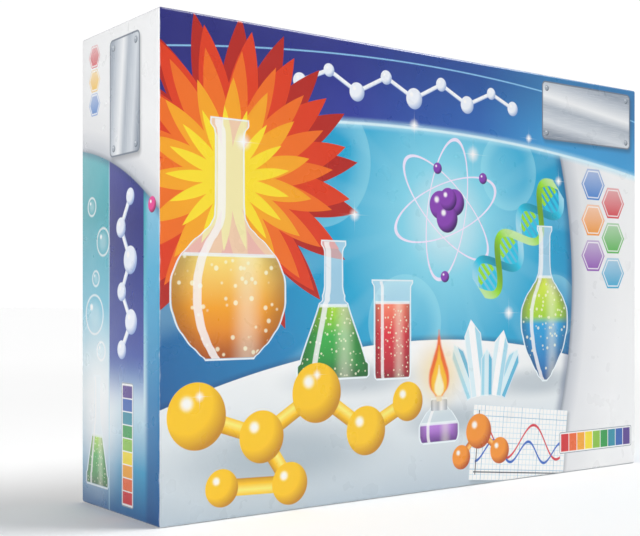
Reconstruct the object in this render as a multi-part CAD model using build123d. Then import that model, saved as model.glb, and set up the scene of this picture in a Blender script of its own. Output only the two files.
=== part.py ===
from build123d import *
import os
from math import atan, cos, degrees, pi, radians, sin, sqrt, tan

# A chemistry set in a rigid two-piece box: a deep lift-off lid over a base, and in the base a
# formed tray with the kit's pieces. Millimetres. The case stands on one long edge, as on a shop
# shelf: +X along its length, +Y from its front to its back, +Z up. The origin is the middle of
# the footprint, on the floor.

os.makedirs("parts", exist_ok=True)

# --- Case -----------------------------------------------------------------------------------
case_width = 453.0
case_height = 315.0
case_depth = 110.0
board = 2.0  # greyboard of lid and base
paper = 0.3  # printed, laminated wrap with its glue
edge_radius = 2.2  # outside of the lid's wrapped corners
edge_cut = 1.5  # boards' corners, pressed flat under the wrap
turn_in = 15.0  # wrap folded over a rim and down the inside
lid_slip = 0.6  # running gap between lid and base, all round
rim_gap = 0.5  # base rim to the inside of the lid's front panel
base_proud = 1.0  # base's back stands this far out of the lid's rim

lid_wall = paper + board + paper
lid_depth = case_depth - base_proud
base_width = case_width - 2 * (lid_wall + lid_slip)
base_height = case_height - 2 * (lid_wall + lid_slip)
base_low = lid_wall + lid_slip
base_depth = case_depth - paper - board - rim_gap
back_inside = case_depth / 2 - paper - board
inner_width = base_width - 2 * (paper + board)
inner_height = base_height - 2 * (paper + board)
inner_low = base_low + paper + board

# --- Formed tray ----------------------------------------------------------------------------
sheet = 1.0  # formed plastic sheet
wall_draft = 3.0  # degrees on every formed wall
tray_gap = 0.5  # tray foot to the base's walls and back
foot_lip = 3.0  # flange turned out round the foot
tray_corner = 8.0
pocket_corner = 2.0
pocket_sides = 8  # a round piece is held between flats
deck_setback = 10.7  # deck behind the base's front rim
fit_gap = 0.5  # round a piece at its pocket's floor
below_deck = 1.0  # a piece's top under the deck
end_room = 6.0  # free pocket past a long piece's upper end
finger = 24.0  # width of a finger channel
finger_deep = 15.0
finger_reach = 9.0  # channel past a piece's side

deck_y = -case_depth / 2 + paper + board + rim_gap + deck_setback
tray_height = back_inside - tray_gap - deck_y
tray_width = inner_width - 2 * tray_gap
tray_span = inner_height - 2 * tray_gap
tray_middle = inner_low + inner_height / 2

# --- Kit pieces -----------------------------------------------------------------------------
tube_radius = 8.0
tube_wall = 1.0
tube_length = 150.0
tube_count = 4
tube_lip = 1.0
dome_bands = 3  # turned flats that make up a round end

rack_length = 190.0
rack_height = 66.0
rack_depth = 36.0
rack_wall = 2.6
rack_rim = 2.0  # top plate stands out this far
rack_plate = 4.0
rack_foot = 9.0
rack_hole = 19.0
rack_trough = 5.0  # depth of the trough for the tubes' ends
rack_places = 6
rack_pitch = 28.0
rack_window = 21.0
rack_window_corner = 6.0

cylinder_radius = 13.0
cylinder_length = 158.0
cylinder_wall = 1.3
cylinder_lip = 2.0
cylinder_foot_radius = 23.0  # to the corners of its six sides
cylinder_foot_height = 9.0
cylinder_foot_floor = 2.0
cylinder_slip = 0.1

funnel_radius = 35.0
funnel_cone = 38.0
funnel_stem = 34.0
funnel_stem_radius = 5.2
funnel_wall = 1.3
funnel_rim = 2.4

petri_radius = 44.0
petri_height = 14.0
petri_wall = 1.3
petri_slip = 0.5
petri_lid_short = 3.0  # lid's rim above the dish's underside

dropper_radius = 3.5
dropper_bore = 2.5
dropper_length = 96.0
dropper_taper = 12.0
dropper_tip = 1.4
dropper_tip_bore = 0.7
bulb_radius = 9.5
bulb_length = 36.0
bulb_wall = 1.6
bulb_grip = 9.0  # barrel pushed into the bulb's neck
bulb_slip = 0.05

spoon_length = 120.0
spoon_width = 6.0
spoon_thick = 2.4
scoop_radius = 6.8
scoop_deep = 6.0
scoop_wall = 1.1
blade_width = 12.0
blade_length = 22.0

jar_radius = 19.0
jar_height = 44.0
jar_neck_radius = 15.6
jar_neck_height = 10.0
jar_wall = 1.3
jar_round = 1.5
jar_count = 3
cap_wall = 1.3
cap_slip = 0.3
cap_ribs = 22
cap_rib = 0.7
shoulder_gap = 0.6  # cap's edge over the jar's shoulder
seat_gap = 0.1  # lid or cap on the rim that carries it
powder_gap = 0.2
powder_levels = [5.0, 1.0, 8.0]  # top of each powder above its jar's axis

card_width = 54.0
card_height = 150.0
card_thick = 0.8
card_corner = 4.0

book_width = 148.0
book_height = 210.0
book_pages = 2.4
book_cover = 0.4
book_gap = 0.3
book_inset = 20.0  # from the base's side wall

on_deck = Pos(0, deck_y, 0) * Rot(90, 0, 0)  # x stays, y runs up the case, z out of the deck


def save(shape, name):
    shape.label = name
    export_step(shape, f"parts/{name}.step")


def turned(outline):
    """Solid turned about Z from an outline of radius and height."""
    return revolve(Plane.XZ * make_face(outline.edges()), Axis.Z)


def block(width, depth, height):
    """Box centred in x, from y = 0 and z = 0."""
    return Box(width, depth, height, align=(Align.CENTER, Align.MIN, Align.MIN))


def rod(radius, height):
    return extrude(Circle(radius), height)


def dome(radius, level, way):
    """Outline of a round end about a level, up or down to its pole, in even turns."""
    turns = [pi / 2 * turn / dome_bands for turn in range(dome_bands + 1)]
    return [(radius * sin(turn), level + way * radius * cos(turn)) for turn in turns]


# --- Lid and base ---------------------------------------------------------------------------
def front_edges(body, depth):
    """Edges round the front panel and the four long corners, but not the open end's."""
    return [edge for edge in body.edges() if edge.center().Y < 0.9 * depth]


def covered_tray(width, depth, height, outside):
    """Board tray and its paper wrap: panel at y = 0, open towards +Y, standing on z = 0."""
    core = block(width - 2 * paper, depth - 2 * paper, height - 2 * paper)
    core = Pos(0, paper, paper) * chamfer(front_edges(core, depth), edge_cut)
    skin = paper + board
    inside = Pos(0, skin, skin) * block(width - 2 * skin, depth - skin, height - 2 * skin)
    lined = skin + paper
    lining = block(width - 2 * lined, turn_in, height - 2 * lined)
    turned_in = block(width - 2 * skin, turn_in, height - 2 * skin)
    turned_in = Pos(0, 0, skin) * turned_in - Pos(0, 0, lined) * lining
    wrap = outside - core - inside + Pos(0, depth - turn_in, 0) * turned_in
    return core - inside, wrap


lid_block = block(case_width, lid_depth, case_height)
lid_block = fillet(front_edges(lid_block, lid_depth), edge_radius)
lid_board, lid_wrap = covered_tray(case_width, lid_depth, case_height, lid_block)
lid_place = Pos(0, -case_depth / 2, 0)
save(lid_place * lid_board, "lid_board")
save(lid_place * lid_wrap, "lid_wrap")

base_block = block(base_width, base_depth, base_height)
base_block = chamfer(front_edges(base_block, base_depth), edge_cut + (2 - sqrt(2)) * paper)
base_board, base_wrap = covered_tray(base_width, base_depth, base_height, base_block)
base_place = Pos(0, case_depth / 2, base_low) * Rot(0, 0, 180)
save(base_place * base_board, "base_board")
save(base_place * base_wrap, "base_wrap")


# --- Pockets of the formed tray -------------------------------------------------------------
pockets = []  # an outside and an inside for each, in the deck's frame


def room(size):
    """Pocket floor for a piece of this size."""
    return size + 2 * fit_gap


def lying(radius):
    """Pocket depth for a round piece that lies down."""
    return below_deck + 2 * radius + fit_gap


def mouth(floor, depth):
    """Width of a drafted pocket at the deck."""
    return floor + 2 * depth * tan(radians(wall_draft))


def spread(low, high, widths):
    """Centres of things side by side, with even gaps between them and at both ends."""
    gap = (high - low - sum(widths)) / (len(widths) + 1)
    centres = []
    for width in widths:
        centres.append(low + gap + width / 2)
        low += gap + width
    return centres


def slot(width, length):
    return chamfer(Rectangle(width, length).vertices(), pocket_corner)


def ring(radius):
    """Many-sided outline whose flats stand at this radius."""
    return RegularPolygon(radius, side_count=pocket_sides, major_radius=False)


def drafted(outline, height, lean):
    """Upright block whose walls lean outwards by an angle, or inwards if it is negative."""
    upright = extrude(outline, height)
    walls = upright.faces().filter_by(Axis.Z, reverse=True)
    return draft(walls, Plane.XY, -lean)


def press_pocket(x, z, floor, depth):
    """Drafted pocket that widens from the outline of its floor to the deck."""
    inside = drafted(floor, depth, wall_draft)
    shell = offset(floor, sheet, kind=Kind.INTERSECTION)
    outside = drafted(shell, depth + sheet, wall_draft)
    pockets.append((Pos(x, z, -depth - sheet) * outside, Pos(x, z, -depth) * inside))


def tray_shell():
    """Deck and skirt, with a flange turned out round the foot."""
    foot = Rectangle(tray_width - 2 * foot_lip, tray_span - 2 * foot_lip)
    foot = chamfer(foot.vertices(), tray_corner)
    outside = drafted(foot, tray_height, -wall_draft)
    inner_foot = offset(foot, -sheet, kind=Kind.INTERSECTION)
    inside = drafted(inner_foot, tray_height - sheet, -wall_draft)
    flange = chamfer(Rectangle(tray_width, tray_span).vertices(), tray_corner)
    shell = outside + extrude(flange, sheet) - inside
    return Pos(0, tray_middle, -tray_height) * shell


# --- Places on the deck: a lower row, and columns side by side above it ---------------------
tube_widest = tube_radius + tube_lip
cylinder_widest = cylinder_radius + cylinder_lip
cylinder_total = cylinder_foot_floor + cylinder_length
foot_flat = cylinder_foot_radius * cos(radians(30))
funnel_widest = funnel_radius + funnel_rim
petri_lid_radius = petri_radius + petri_slip + petri_wall
petri_total = petri_height + seat_gap + petri_wall
cap_height = jar_neck_height - shoulder_gap + seat_gap + cap_wall
jar_total = jar_height + shoulder_gap + cap_height

corner_reach = 1 / cos(pi / pocket_sides)  # of a many-sided pocket, past its flats
rack_depth_in = below_deck + rack_depth + fit_gap
jar_depth_in = below_deck + jar_total + fit_gap
petri_depth_in = below_deck + petri_total + fit_gap
spoon_depth_in = below_deck + scoop_deep + fit_gap
card_depth_in = below_deck + card_thick + seat_gap
tube_mouth = mouth(room(2 * tube_widest), lying(tube_widest))
foot_mouth = mouth(room(2 * cylinder_foot_radius), lying(foot_flat))
dropper_mouth = mouth(room(2 * bulb_radius), lying(bulb_radius))
spoon_mouth = mouth(room(2 * scoop_radius), spoon_depth_in)
petri_mouth = mouth(room(2 * petri_lid_radius), petri_depth_in) * corner_reach
card_mouth = mouth(room(card_width), card_depth_in)
jar_mouth = mouth(room(2 * jar_radius), jar_depth_in) * corner_reach

skirt = foot_lip + tray_height * tan(radians(wall_draft))  # foot's edge to deck's edge
deck_half = tray_width / 2 - skirt
deck_low = tray_middle - tray_span / 2 + skirt
deck_high = tray_middle + tray_span / 2 - skirt

columns = [tube_mouth] * tube_count
columns += [foot_mouth, dropper_mouth, spoon_mouth, petri_mouth, card_mouth]
column_places = spread(-deck_half, deck_half, columns)
tube_places = column_places[:tube_count]
cylinder_x, dropper_x, spoon_x, round_x, card_x = column_places[tube_count:]

row_rooms = [room(rack_height), room(cylinder_total) + end_room]
lower_row, upper_row = spread(deck_low, deck_high, row_rooms)
column_foot = upper_row - row_rooms[1] / 2  # lower ends of the upper row's pockets
row_widths = [mouth(room(rack_length), rack_depth_in)] + [jar_mouth] * jar_count
rack_x, *jar_places = spread(-deck_half, deck_half, row_widths)

jars_high = lower_row + jar_mouth / 2
round_mouths = [2 * (funnel_widest + fit_gap), petri_mouth]
funnel_z, petri_z = spread(jars_high, deck_high, round_mouths)


# --- Test-tube rack -------------------------------------------------------------------------
def rack_plan(inset):
    return SlotOverall(rack_length - 2 * inset, rack_depth - 2 * inset)


def test_tube_rack():
    """Moulded rack: holed top, troughed foot, and fingers between the windows of its wall."""
    rack = extrude(rack_plan(rack_rim), rack_height)
    rack += Pos(0, 0, rack_height - rack_plate) * extrude(rack_plan(0), rack_plate)
    hollow = rack_height - rack_foot - rack_plate
    rack -= Pos(0, 0, rack_foot) * extrude(rack_plan(rack_rim + rack_wall), hollow)
    tube_row = SlotCenterToCenter(rack_pitch * (rack_places - 1), rack_hole)
    rack -= Pos(0, 0, rack_foot - rack_trough) * extrude(tube_row, rack_trough)
    window_height = hollow - rack_rim
    window = chamfer(Rectangle(rack_window, window_height).vertices(), rack_window_corner)
    window = Rot(90, 0, 0) * extrude(window, rack_depth, both=True)
    for place in range(rack_places):
        x = rack_pitch * (place - (rack_places - 1) / 2)
        rack -= Pos(x, 0, rack_foot + window_height / 2) * window
        rack -= Pos(x, 0, rack_height - rack_plate) * rod(rack_hole / 2, rack_plate)
    return rack


rack_y = deck_y + below_deck + rack_depth / 2
rack_low = lower_row - rack_height / 2
save(Pos(rack_x, rack_y, rack_low) * test_tube_rack(), "test_tube_rack")
rack_floor = slot(room(rack_length), room(rack_height))
press_pocket(rack_x, lower_row, rack_floor, rack_depth_in)
press_pocket(rack_x, lower_row, slot(finger, rack_height + 2 * finger_reach), finger_deep)


# --- Test tubes -----------------------------------------------------------------------------
tube_bore = tube_radius - tube_wall


def test_tube():
    """Round-bottomed tube with a flat lip."""
    outline = Polyline(
        *dome(tube_radius, tube_radius, -1),
        (tube_radius, tube_length - 2 * tube_lip),
        (tube_widest, tube_length - 2 * tube_lip),
        (tube_widest, tube_length),
        (tube_bore, tube_length),
        (tube_bore, tube_radius),
        (tube_bore / 2, 2 * tube_wall),
        (0, 2 * tube_wall),
        close=True,
    )
    return turned(outline)


tube_y = deck_y + below_deck + tube_widest
tube_low = column_foot + fit_gap
tube_room = room(tube_length) + end_room
for number, x in enumerate(tube_places, start=1):
    save(Pos(x, tube_y, tube_low) * test_tube(), f"test_tube_{number}")
    tube_floor = slot(room(2 * tube_widest), tube_room)
    press_pocket(x, column_foot + tube_room / 2, tube_floor, lying(tube_widest))
tubes_middle = (tube_places[0] + tube_places[-1]) / 2
tubes_channel = slot(tube_places[-1] - tube_places[0], finger)
press_pocket(tubes_middle, column_foot + tube_length / 2, tubes_channel, finger_deep)


# --- Measuring cylinder ---------------------------------------------------------------------
def cylinder_barrel():
    """Straight barrel that flares at its mouth."""
    bore = cylinder_radius - cylinder_wall
    flare_low = cylinder_length - 2 * cylinder_lip
    outline = Polyline(
        (0, 0),
        (cylinder_radius, 0),
        (cylinder_radius, flare_low),
        (cylinder_widest, cylinder_length - cylinder_wall),
        (cylinder_widest, cylinder_length),
        (cylinder_radius, cylinder_length),
        (bore, flare_low),
        (bore, cylinder_wall),
        (0, cylinder_wall),
        close=True,
    )
    return turned(outline)


def cylinder_foot():
    """Six-sided foot with a collar round the barrel's lower end."""
    plate = extrude(RegularPolygon(cylinder_foot_radius, side_count=6), cylinder_foot_height / 2)
    socket = cylinder_radius + cylinder_slip
    collar = rod(socket + 2 * cylinder_wall, cylinder_foot_height)
    hole = rod(socket, cylinder_foot_height)
    return plate + collar - Pos(0, 0, cylinder_foot_floor) * hole


cylinder_place = Pos(cylinder_x, deck_y + below_deck + foot_flat, column_foot + fit_gap)
save(cylinder_place * cylinder_foot(), "cylinder_foot")
save(cylinder_place * Pos(0, 0, cylinder_foot_floor) * cylinder_barrel(), "measuring_cylinder")
foot_room = room(cylinder_foot_height)
foot_floor = slot(room(2 * cylinder_foot_radius), foot_room)
press_pocket(cylinder_x, column_foot + foot_room / 2, foot_floor, lying(foot_flat))
barrel_room = room(cylinder_total) + end_room
barrel_floor = slot(room(2 * cylinder_widest), barrel_room)
barrel_depth = below_deck + foot_flat + cylinder_widest + fit_gap
press_pocket(cylinder_x, column_foot + barrel_room / 2, barrel_floor, barrel_depth)


# --- Funnel ---------------------------------------------------------------------------------
def funnel():
    """Funnel with its mouth at z = 0 and its stem below."""
    stem_bore = funnel_stem_radius - funnel_wall
    tip = -funnel_cone - funnel_stem
    outline = Polyline(
        (funnel_radius - funnel_wall, 0),
        (funnel_widest, 0),
        (funnel_widest, -funnel_wall),
        (funnel_radius, -funnel_wall),
        (funnel_stem_radius, -funnel_cone),
        (funnel_stem_radius, tip),
        (stem_bore, tip),
        (stem_bore, -funnel_cone),
        close=True,
    )
    return turned(outline)


def funnel_hollow(grow):
    """Many-sided hopper for the funnel, grown by the sheet on its outside."""
    around = fit_gap + grow
    stem_low = -below_deck - funnel_cone - funnel_stem - around
    cone_low = -below_deck - funnel_cone - around
    rim_deep = below_deck + funnel_wall + around
    slope = degrees(atan((funnel_radius - funnel_stem_radius) / (funnel_cone - funnel_wall)))
    hopper = drafted(ring(funnel_stem_radius + around), -cone_low - rim_deep, slope)
    hollow = Pos(0, 0, cone_low) * hopper
    stem = extrude(ring(funnel_stem_radius + around), cone_low - stem_low + sheet)
    hollow += Pos(0, 0, stem_low) * stem
    rim = extrude(ring(funnel_widest + around), rim_deep)
    hollow += Pos(0, 0, -rim_deep) * rim
    return Pos(round_x, funnel_z, 0) * hollow


save(on_deck * Pos(round_x, funnel_z, -below_deck) * funnel(), "funnel")
pockets.append((funnel_hollow(sheet), funnel_hollow(0)))


# --- Petri dish -----------------------------------------------------------------------------
def dish(radius, height):
    """Shallow round cup on z = 0."""
    return rod(radius, height) - Pos(0, 0, petri_wall) * rod(radius - petri_wall, height)


petri_place = on_deck * Pos(round_x, petri_z, -below_deck - petri_total)
save(petri_place * dish(petri_radius, petri_height), "petri_dish")
petri_lid = Rot(180, 0, 0) * dish(petri_lid_radius, petri_total - petri_lid_short)
save(petri_place * Pos(0, 0, petri_total) * petri_lid, "petri_lid")
press_pocket(round_x, petri_z, ring(petri_lid_radius + fit_gap), petri_depth_in)
press_pocket(round_x, (funnel_z + petri_z) / 2, slot(finger, petri_z - funnel_z), petri_depth_in)


# --- Dropper --------------------------------------------------------------------------------
def dropper_barrel():
    """Clear barrel, its fine tip at z = 0."""
    outline = Polyline(
        (dropper_tip_bore, 0),
        (dropper_tip, 0),
        (dropper_radius, dropper_taper),
        (dropper_radius, dropper_length),
        (dropper_bore, dropper_length),
        (dropper_bore, dropper_taper),
        (dropper_tip_bore, dropper_taper),
        close=True,
    )
    return turned(outline)


def dropper_bulb():
    """Hollow rubber bulb, its neck's edge at z = 0."""
    bore = dropper_radius + bulb_slip
    neck = bore + bulb_wall
    swell = bulb_grip + bulb_radius / 2
    crown = bulb_length - bulb_radius
    outline = Polyline(
        (bore, 0),
        (neck, 0),
        (neck, bulb_grip - bulb_wall),
        (bulb_radius, swell),
        *reversed(dome(bulb_radius, crown, 1)),
        (0, bulb_grip),
        (bore, bulb_grip),
        close=True,
    )
    hollow = Pos(0, 0, swell) * rod(bulb_radius - bulb_wall, crown - swell)
    throat = Pos(0, 0, bulb_grip) * rod(bore, swell - bulb_grip)
    return turned(outline) - hollow - throat


dropper_total = dropper_length - bulb_grip + bulb_length
dropper_place = Pos(dropper_x, deck_y + below_deck + bulb_radius, column_foot + fit_gap)
save(dropper_place * dropper_barrel(), "dropper_barrel")
save(dropper_place * Pos(0, 0, dropper_length - bulb_grip) * dropper_bulb(), "dropper_bulb")
dropper_room = room(dropper_total) + end_room
dropper_floor = slot(room(2 * bulb_radius), dropper_room)
press_pocket(dropper_x, column_foot + dropper_room / 2, dropper_floor, lying(bulb_radius))


# --- Measuring spoon ------------------------------------------------------------------------
def measuring_spoon():
    """Flat handle with a round scoop below and a spatula blade above, its top at y = 0."""
    handle = Rectangle(spoon_width, spoon_length - scoop_radius, align=(Align.CENTER, Align.MIN))
    blade = RectangleRounded(blade_width, blade_length, blade_width / 3)
    flat = Pos(0, scoop_radius) * handle
    flat = extrude(flat, spoon_thick) + extrude(
        Pos(0, spoon_length - blade_length / 2) * blade, spoon_thick / 2
    )
    cup = Pos(0, scoop_radius) * rod(scoop_radius, scoop_deep)
    hollow = Pos(0, scoop_radius) * rod(scoop_radius - scoop_wall, scoop_deep - scoop_wall)
    return Rot(90, 0, 0) * mirror(flat + cup - hollow, Plane.XY)


spoon_place = Pos(spoon_x, deck_y + below_deck, column_foot + fit_gap)
save(spoon_place * measuring_spoon(), "measuring_spoon")
spoon_room = room(spoon_length) + end_room
spoon_floor = slot(room(2 * scoop_radius), spoon_room)
press_pocket(spoon_x, column_foot + spoon_room / 2, spoon_floor, spoon_depth_in)


# --- Reagent jars ---------------------------------------------------------------------------
def reagent_jar():
    """Wide-necked jar with an eased shoulder."""
    neck_bore = jar_neck_radius - jar_wall
    jar_top = jar_height + jar_neck_height
    outline = Polyline(
        (0, 0),
        (jar_radius, 0),
        (jar_radius, jar_height - jar_round),
        (jar_radius - jar_round, jar_height),
        (jar_neck_radius, jar_height),
        (jar_neck_radius, jar_top),
        (neck_bore, jar_top),
        (neck_bore, jar_height - jar_wall - jar_round),
        (jar_radius - jar_wall, jar_height - jar_wall - jar_round),
        (jar_radius - jar_wall, jar_wall),
        (0, jar_wall),
        close=True,
    )
    return turned(outline)


def jar_cap():
    """Ribbed cap, its edge at z = 0."""
    hollow_radius = jar_neck_radius + cap_slip
    corners = []
    for corner in range(2 * cap_ribs):
        radius = hollow_radius + cap_wall + cap_rib * (corner % 2)
        angle = pi * corner / cap_ribs
        corners.append((radius * cos(angle), radius * sin(angle)))
    cap = extrude(Polygon(*corners, align=None), cap_height)
    return cap - rod(hollow_radius, cap_height - cap_wall)


def powder(level):
    """Powder in a jar that lies on its side, level with the case's floor."""
    radius = jar_radius - jar_wall - powder_gap
    length = jar_height - 2 * jar_wall - jar_round - 2 * powder_gap
    fill = Pos(0, 0, jar_wall + powder_gap) * rod(radius, length)
    return fill & Pos(0, level - jar_radius, 0) * Box(2 * jar_radius, 2 * jar_radius, 2 * jar_height)


for number, (x, level) in enumerate(zip(jar_places, powder_levels), start=1):
    jar_place = on_deck * Pos(x, lower_row, -below_deck - jar_total)
    save(jar_place * reagent_jar(), f"reagent_jar_{number}")
    save(jar_place * powder(level), f"reagent_{number}")
    save(jar_place * Pos(0, 0, jar_height + shoulder_gap) * jar_cap(), f"jar_cap_{number}")
    press_pocket(x, lower_row, ring(jar_radius + fit_gap), jar_depth_in)
jars_middle = (jar_places[0] + jar_places[-1]) / 2
jars_channel = slot(jar_places[-1] - jar_places[0], finger)
press_pocket(jars_middle, lower_row, jars_channel, finger_deep)

# --- Colour card and booklet ----------------------------------------------------------------
card = extrude(RectangleRounded(card_width, card_height, card_corner), card_thick)
card_z = column_foot + fit_gap + card_height / 2
save(on_deck * Pos(card_x, card_z, -below_deck - card_thick) * card, "colour_card")
card_floor = slot(room(card_width), room(card_height))
press_pocket(card_x, card_z, card_floor, card_depth_in)

book_thick = book_pages + 2 * book_cover
book_low = inner_low + paper + book_gap
book_x = -inner_width / 2 + book_inset + book_width / 2
book_place = Pos(book_x, deck_y - book_gap - book_thick, book_low)
leaves = block(book_width - book_cover, book_pages, book_height)
cover = block(book_width, book_thick, book_height)
cover -= Pos(book_cover, book_cover, 0) * block(book_width, book_pages, book_height)
save(book_place * Pos(book_cover / 2, book_cover, 0) * leaves, "book_pages")
save(book_place * cover, "book_cover")

# --- Formed tray ----------------------------------------------------------------------------
tray = tray_shell()
for outside, _ in pockets:
    tray += outside
for _, inside in pockets:
    tray -= inside
save(on_deck * tray, "insert_tray")
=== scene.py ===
# %% [markdown]
# # A chemistry set in its box
# The object is a printed carton box that stands on one long edge, as on a shop shelf. The box is
# already built to size elsewhere, as a packed model with its pieces named. Here it gets its
# looks: printed and laminated paper, greyboard, moulded and clear plastics, powders.
#
# The first lines load the packed model. Everything after is in metres, in its frame: +X along
# the box, +Y from the printed front to the back, +Z up.

from math import atan2, cos, degrees, pi, radians, sin, sqrt

import bmesh
import bpy
from mathutils import Matrix, Vector


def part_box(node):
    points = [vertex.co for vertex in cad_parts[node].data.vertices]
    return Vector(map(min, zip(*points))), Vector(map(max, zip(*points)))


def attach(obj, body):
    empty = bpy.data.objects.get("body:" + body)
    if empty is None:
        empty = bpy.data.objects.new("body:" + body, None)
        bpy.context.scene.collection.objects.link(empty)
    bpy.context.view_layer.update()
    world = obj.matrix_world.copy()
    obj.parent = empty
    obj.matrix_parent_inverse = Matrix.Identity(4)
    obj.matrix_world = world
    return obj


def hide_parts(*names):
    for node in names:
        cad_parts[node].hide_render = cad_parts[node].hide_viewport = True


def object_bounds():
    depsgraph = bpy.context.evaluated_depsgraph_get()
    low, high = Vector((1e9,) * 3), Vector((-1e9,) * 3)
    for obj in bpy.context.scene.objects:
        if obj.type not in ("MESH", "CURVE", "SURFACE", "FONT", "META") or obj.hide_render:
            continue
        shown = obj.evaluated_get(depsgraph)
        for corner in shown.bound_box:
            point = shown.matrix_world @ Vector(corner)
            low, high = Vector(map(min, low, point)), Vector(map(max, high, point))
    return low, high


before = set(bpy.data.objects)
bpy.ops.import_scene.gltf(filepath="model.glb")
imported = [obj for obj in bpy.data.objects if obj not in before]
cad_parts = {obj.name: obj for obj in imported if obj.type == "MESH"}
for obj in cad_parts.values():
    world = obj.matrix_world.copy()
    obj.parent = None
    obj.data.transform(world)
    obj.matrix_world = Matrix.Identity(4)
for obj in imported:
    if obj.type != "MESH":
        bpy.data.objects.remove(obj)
cad_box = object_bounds()
LOW, HIGH = (Vector(corner) for corner in cad_box)
MIDDLE = (LOW + HIGH) / 2
MM = 1000  # millimetres in a metre
bpy.ops.object.select_all(action="DESELECT")
print("the box measures", [round(MM * size) for size in HIGH - LOW], "mm")

# %% [markdown]
# ## Camera
# The photograph was taken close to the box, so its upright edges have very different lengths in
# the picture. A camera has to stand at the same place to give that. Its place was worked out
# from the six corners of the box that show: it stands in front and to the left, level, at less
# than half the box's height. The picture is cut out a little above the lens's axis, and a lens
# shift gives that without tilting the camera, which would make the upright edges lean.

# %% Camera
PHOTO_WIDTH = 640
LENS_PIXELS = 1106.55
AXIS_BELOW_MIDDLE = 32.25
SENSOR = 36.0
CAMERA_PLACE = (-0.5455, -0.6474, 0.1376)
CAMERA_YAW = radians(36.57)

lens = bpy.data.cameras.new("lens")
lens.sensor_width = SENSOR
lens.lens = SENSOR * LENS_PIXELS / PHOTO_WIDTH
lens.shift_y = AXIS_BELOW_MIDDLE / PHOTO_WIDTH
lens.clip_start, lens.clip_end = 0.05, 20.0
camera = bpy.data.objects.new("camera", lens)
camera.location = CAMERA_PLACE
camera.rotation_euler = (radians(90), 0, -CAMERA_YAW)
scene = bpy.context.scene
scene.collection.objects.link(camera)
scene.camera = camera
print("lens", round(lens.lens, 1), "mm, shift", round(lens.shift_y, 4))

# %% [markdown]
# ## Floor
# The photograph is a product shot on white. The floor is pale and large. Near the box its colour
# is a light grey, so that a shadow and a little of the box's colour show on it, and farther off
# its colour is painted white, a painted brightening in place of light, so that no line shows
# where the floor ends and the world begins.


# %% Floor
FLOOR_SIZE = 60.0
FLOOR_NEAR, FLOOR_FAR = 0.93, 1.0  # how much light the floor gives back
FLOOR_UNEVEN, PALER_FROM, PALEST_AT = 0.25, 0.7, 2.2  # metres from the box


def studio_floor(name):
    """Smooth floor, a little uneven, whose colour is painted paler away from the box: painted light that lets
    the far floor meet the white world.
    """
    material = bpy.data.materials.new(name)
    material.use_nodes = True
    nodes, links = material.node_tree.nodes, material.node_tree.links
    shader = nodes["Principled BSDF"]
    shader.inputs["Roughness"].default_value = 0.85
    shader.inputs["Specular IOR Level"].default_value = 0.2
    place = nodes.new("ShaderNodeTexCoord").outputs["Object"]
    noise = nodes.new("ShaderNodeTexNoise")
    noise.inputs["Scale"].default_value = 3.0
    away = nodes.new("ShaderNodeVectorMath")
    away.operation = "LENGTH"
    uneven = nodes.new("ShaderNodeMath")
    uneven.operation = "MULTIPLY_ADD"
    uneven.inputs[1].default_value = FLOOR_UNEVEN
    spread = nodes.new("ShaderNodeMapRange")
    spread.interpolation_type = "SMOOTHSTEP"
    spread.inputs["From Min"].default_value = PALER_FROM
    spread.inputs["From Max"].default_value = PALEST_AT
    # Painted light: the floor's colour grows from light grey near the box to white far off.
    ramp = nodes.new("ShaderNodeValToRGB")
    for element, grey in zip(ramp.color_ramp.elements, (FLOOR_NEAR, FLOOR_FAR)):
        element.color = (grey, grey, grey, 1)
    links.new(place, noise.inputs["Vector"])
    links.new(place, away.inputs[0])
    links.new(noise.outputs["Fac"], uneven.inputs[0])
    links.new(away.outputs["Value"], uneven.inputs[2])
    links.new(uneven.outputs["Value"], spread.inputs["Value"])
    links.new(spread.outputs["Result"], ramp.inputs["Fac"])
    links.new(ramp.outputs["Color"], shader.inputs["Base Color"])
    return material


bpy.ops.mesh.primitive_plane_add(size=FLOOR_SIZE, location=(0, 0, 0))
floor = bpy.context.object
floor.name = "studio_floor"
floor.data.materials.append(studio_floor("studio_floor"))
print("floor", FLOOR_SIZE, "m wide")

# %% [markdown]
# ## World
# Behind the box the world is as white as the floor. Elsewhere it is dimmer, which leaves room for
# lamps: light from all sides alone would leave the box without a bright and a dark side. Colours
# are shown as they are, with no film curve, so that a white floor can be really white.


# %% World
WORLD_ROUND, WORLD_BEHIND = 0.40, 1.02  # strengths
TURNS_BRIGHT, IS_BRIGHT = 0.45, 0.85  # cosines of the angle from the way that the camera looks


def white_behind(name):
    """World of one strength all round, and of another where the camera looks."""
    world = bpy.data.worlds.new(name)
    world.use_nodes = True
    nodes, links = world.node_tree.nodes, world.node_tree.links
    way = nodes.new("ShaderNodeTexCoord")
    facing = nodes.new("ShaderNodeVectorMath")
    facing.operation = "DOT_PRODUCT"
    facing.inputs[1].default_value = (sin(CAMERA_YAW), cos(CAMERA_YAW), 0)
    spread = nodes.new("ShaderNodeMapRange")
    for socket, value in (("From Min", TURNS_BRIGHT), ("From Max", IS_BRIGHT), ("To Min", WORLD_ROUND),
                          ("To Max", WORLD_BEHIND)):
        spread.inputs[socket].default_value = value
    links.new(way.outputs["Generated"], facing.inputs[0])
    links.new(facing.outputs["Value"], spread.inputs["Value"])
    links.new(spread.outputs["Result"], nodes["Background"].inputs["Strength"])
    nodes["Background"].inputs["Color"].default_value = (1, 1, 1, 1)
    return world


scene.view_settings.view_transform = "Standard"
scene.world = white_behind("studio")
print("world", WORLD_ROUND, "all round,", WORLD_BEHIND, "behind the box")

# %% [markdown]
# ## Lights
# One soft sun from the front right throws the box's shadow to the left, as in the photograph. It
# leaves the narrow left side dark, so a softbox stands low on the left to light that side.


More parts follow.
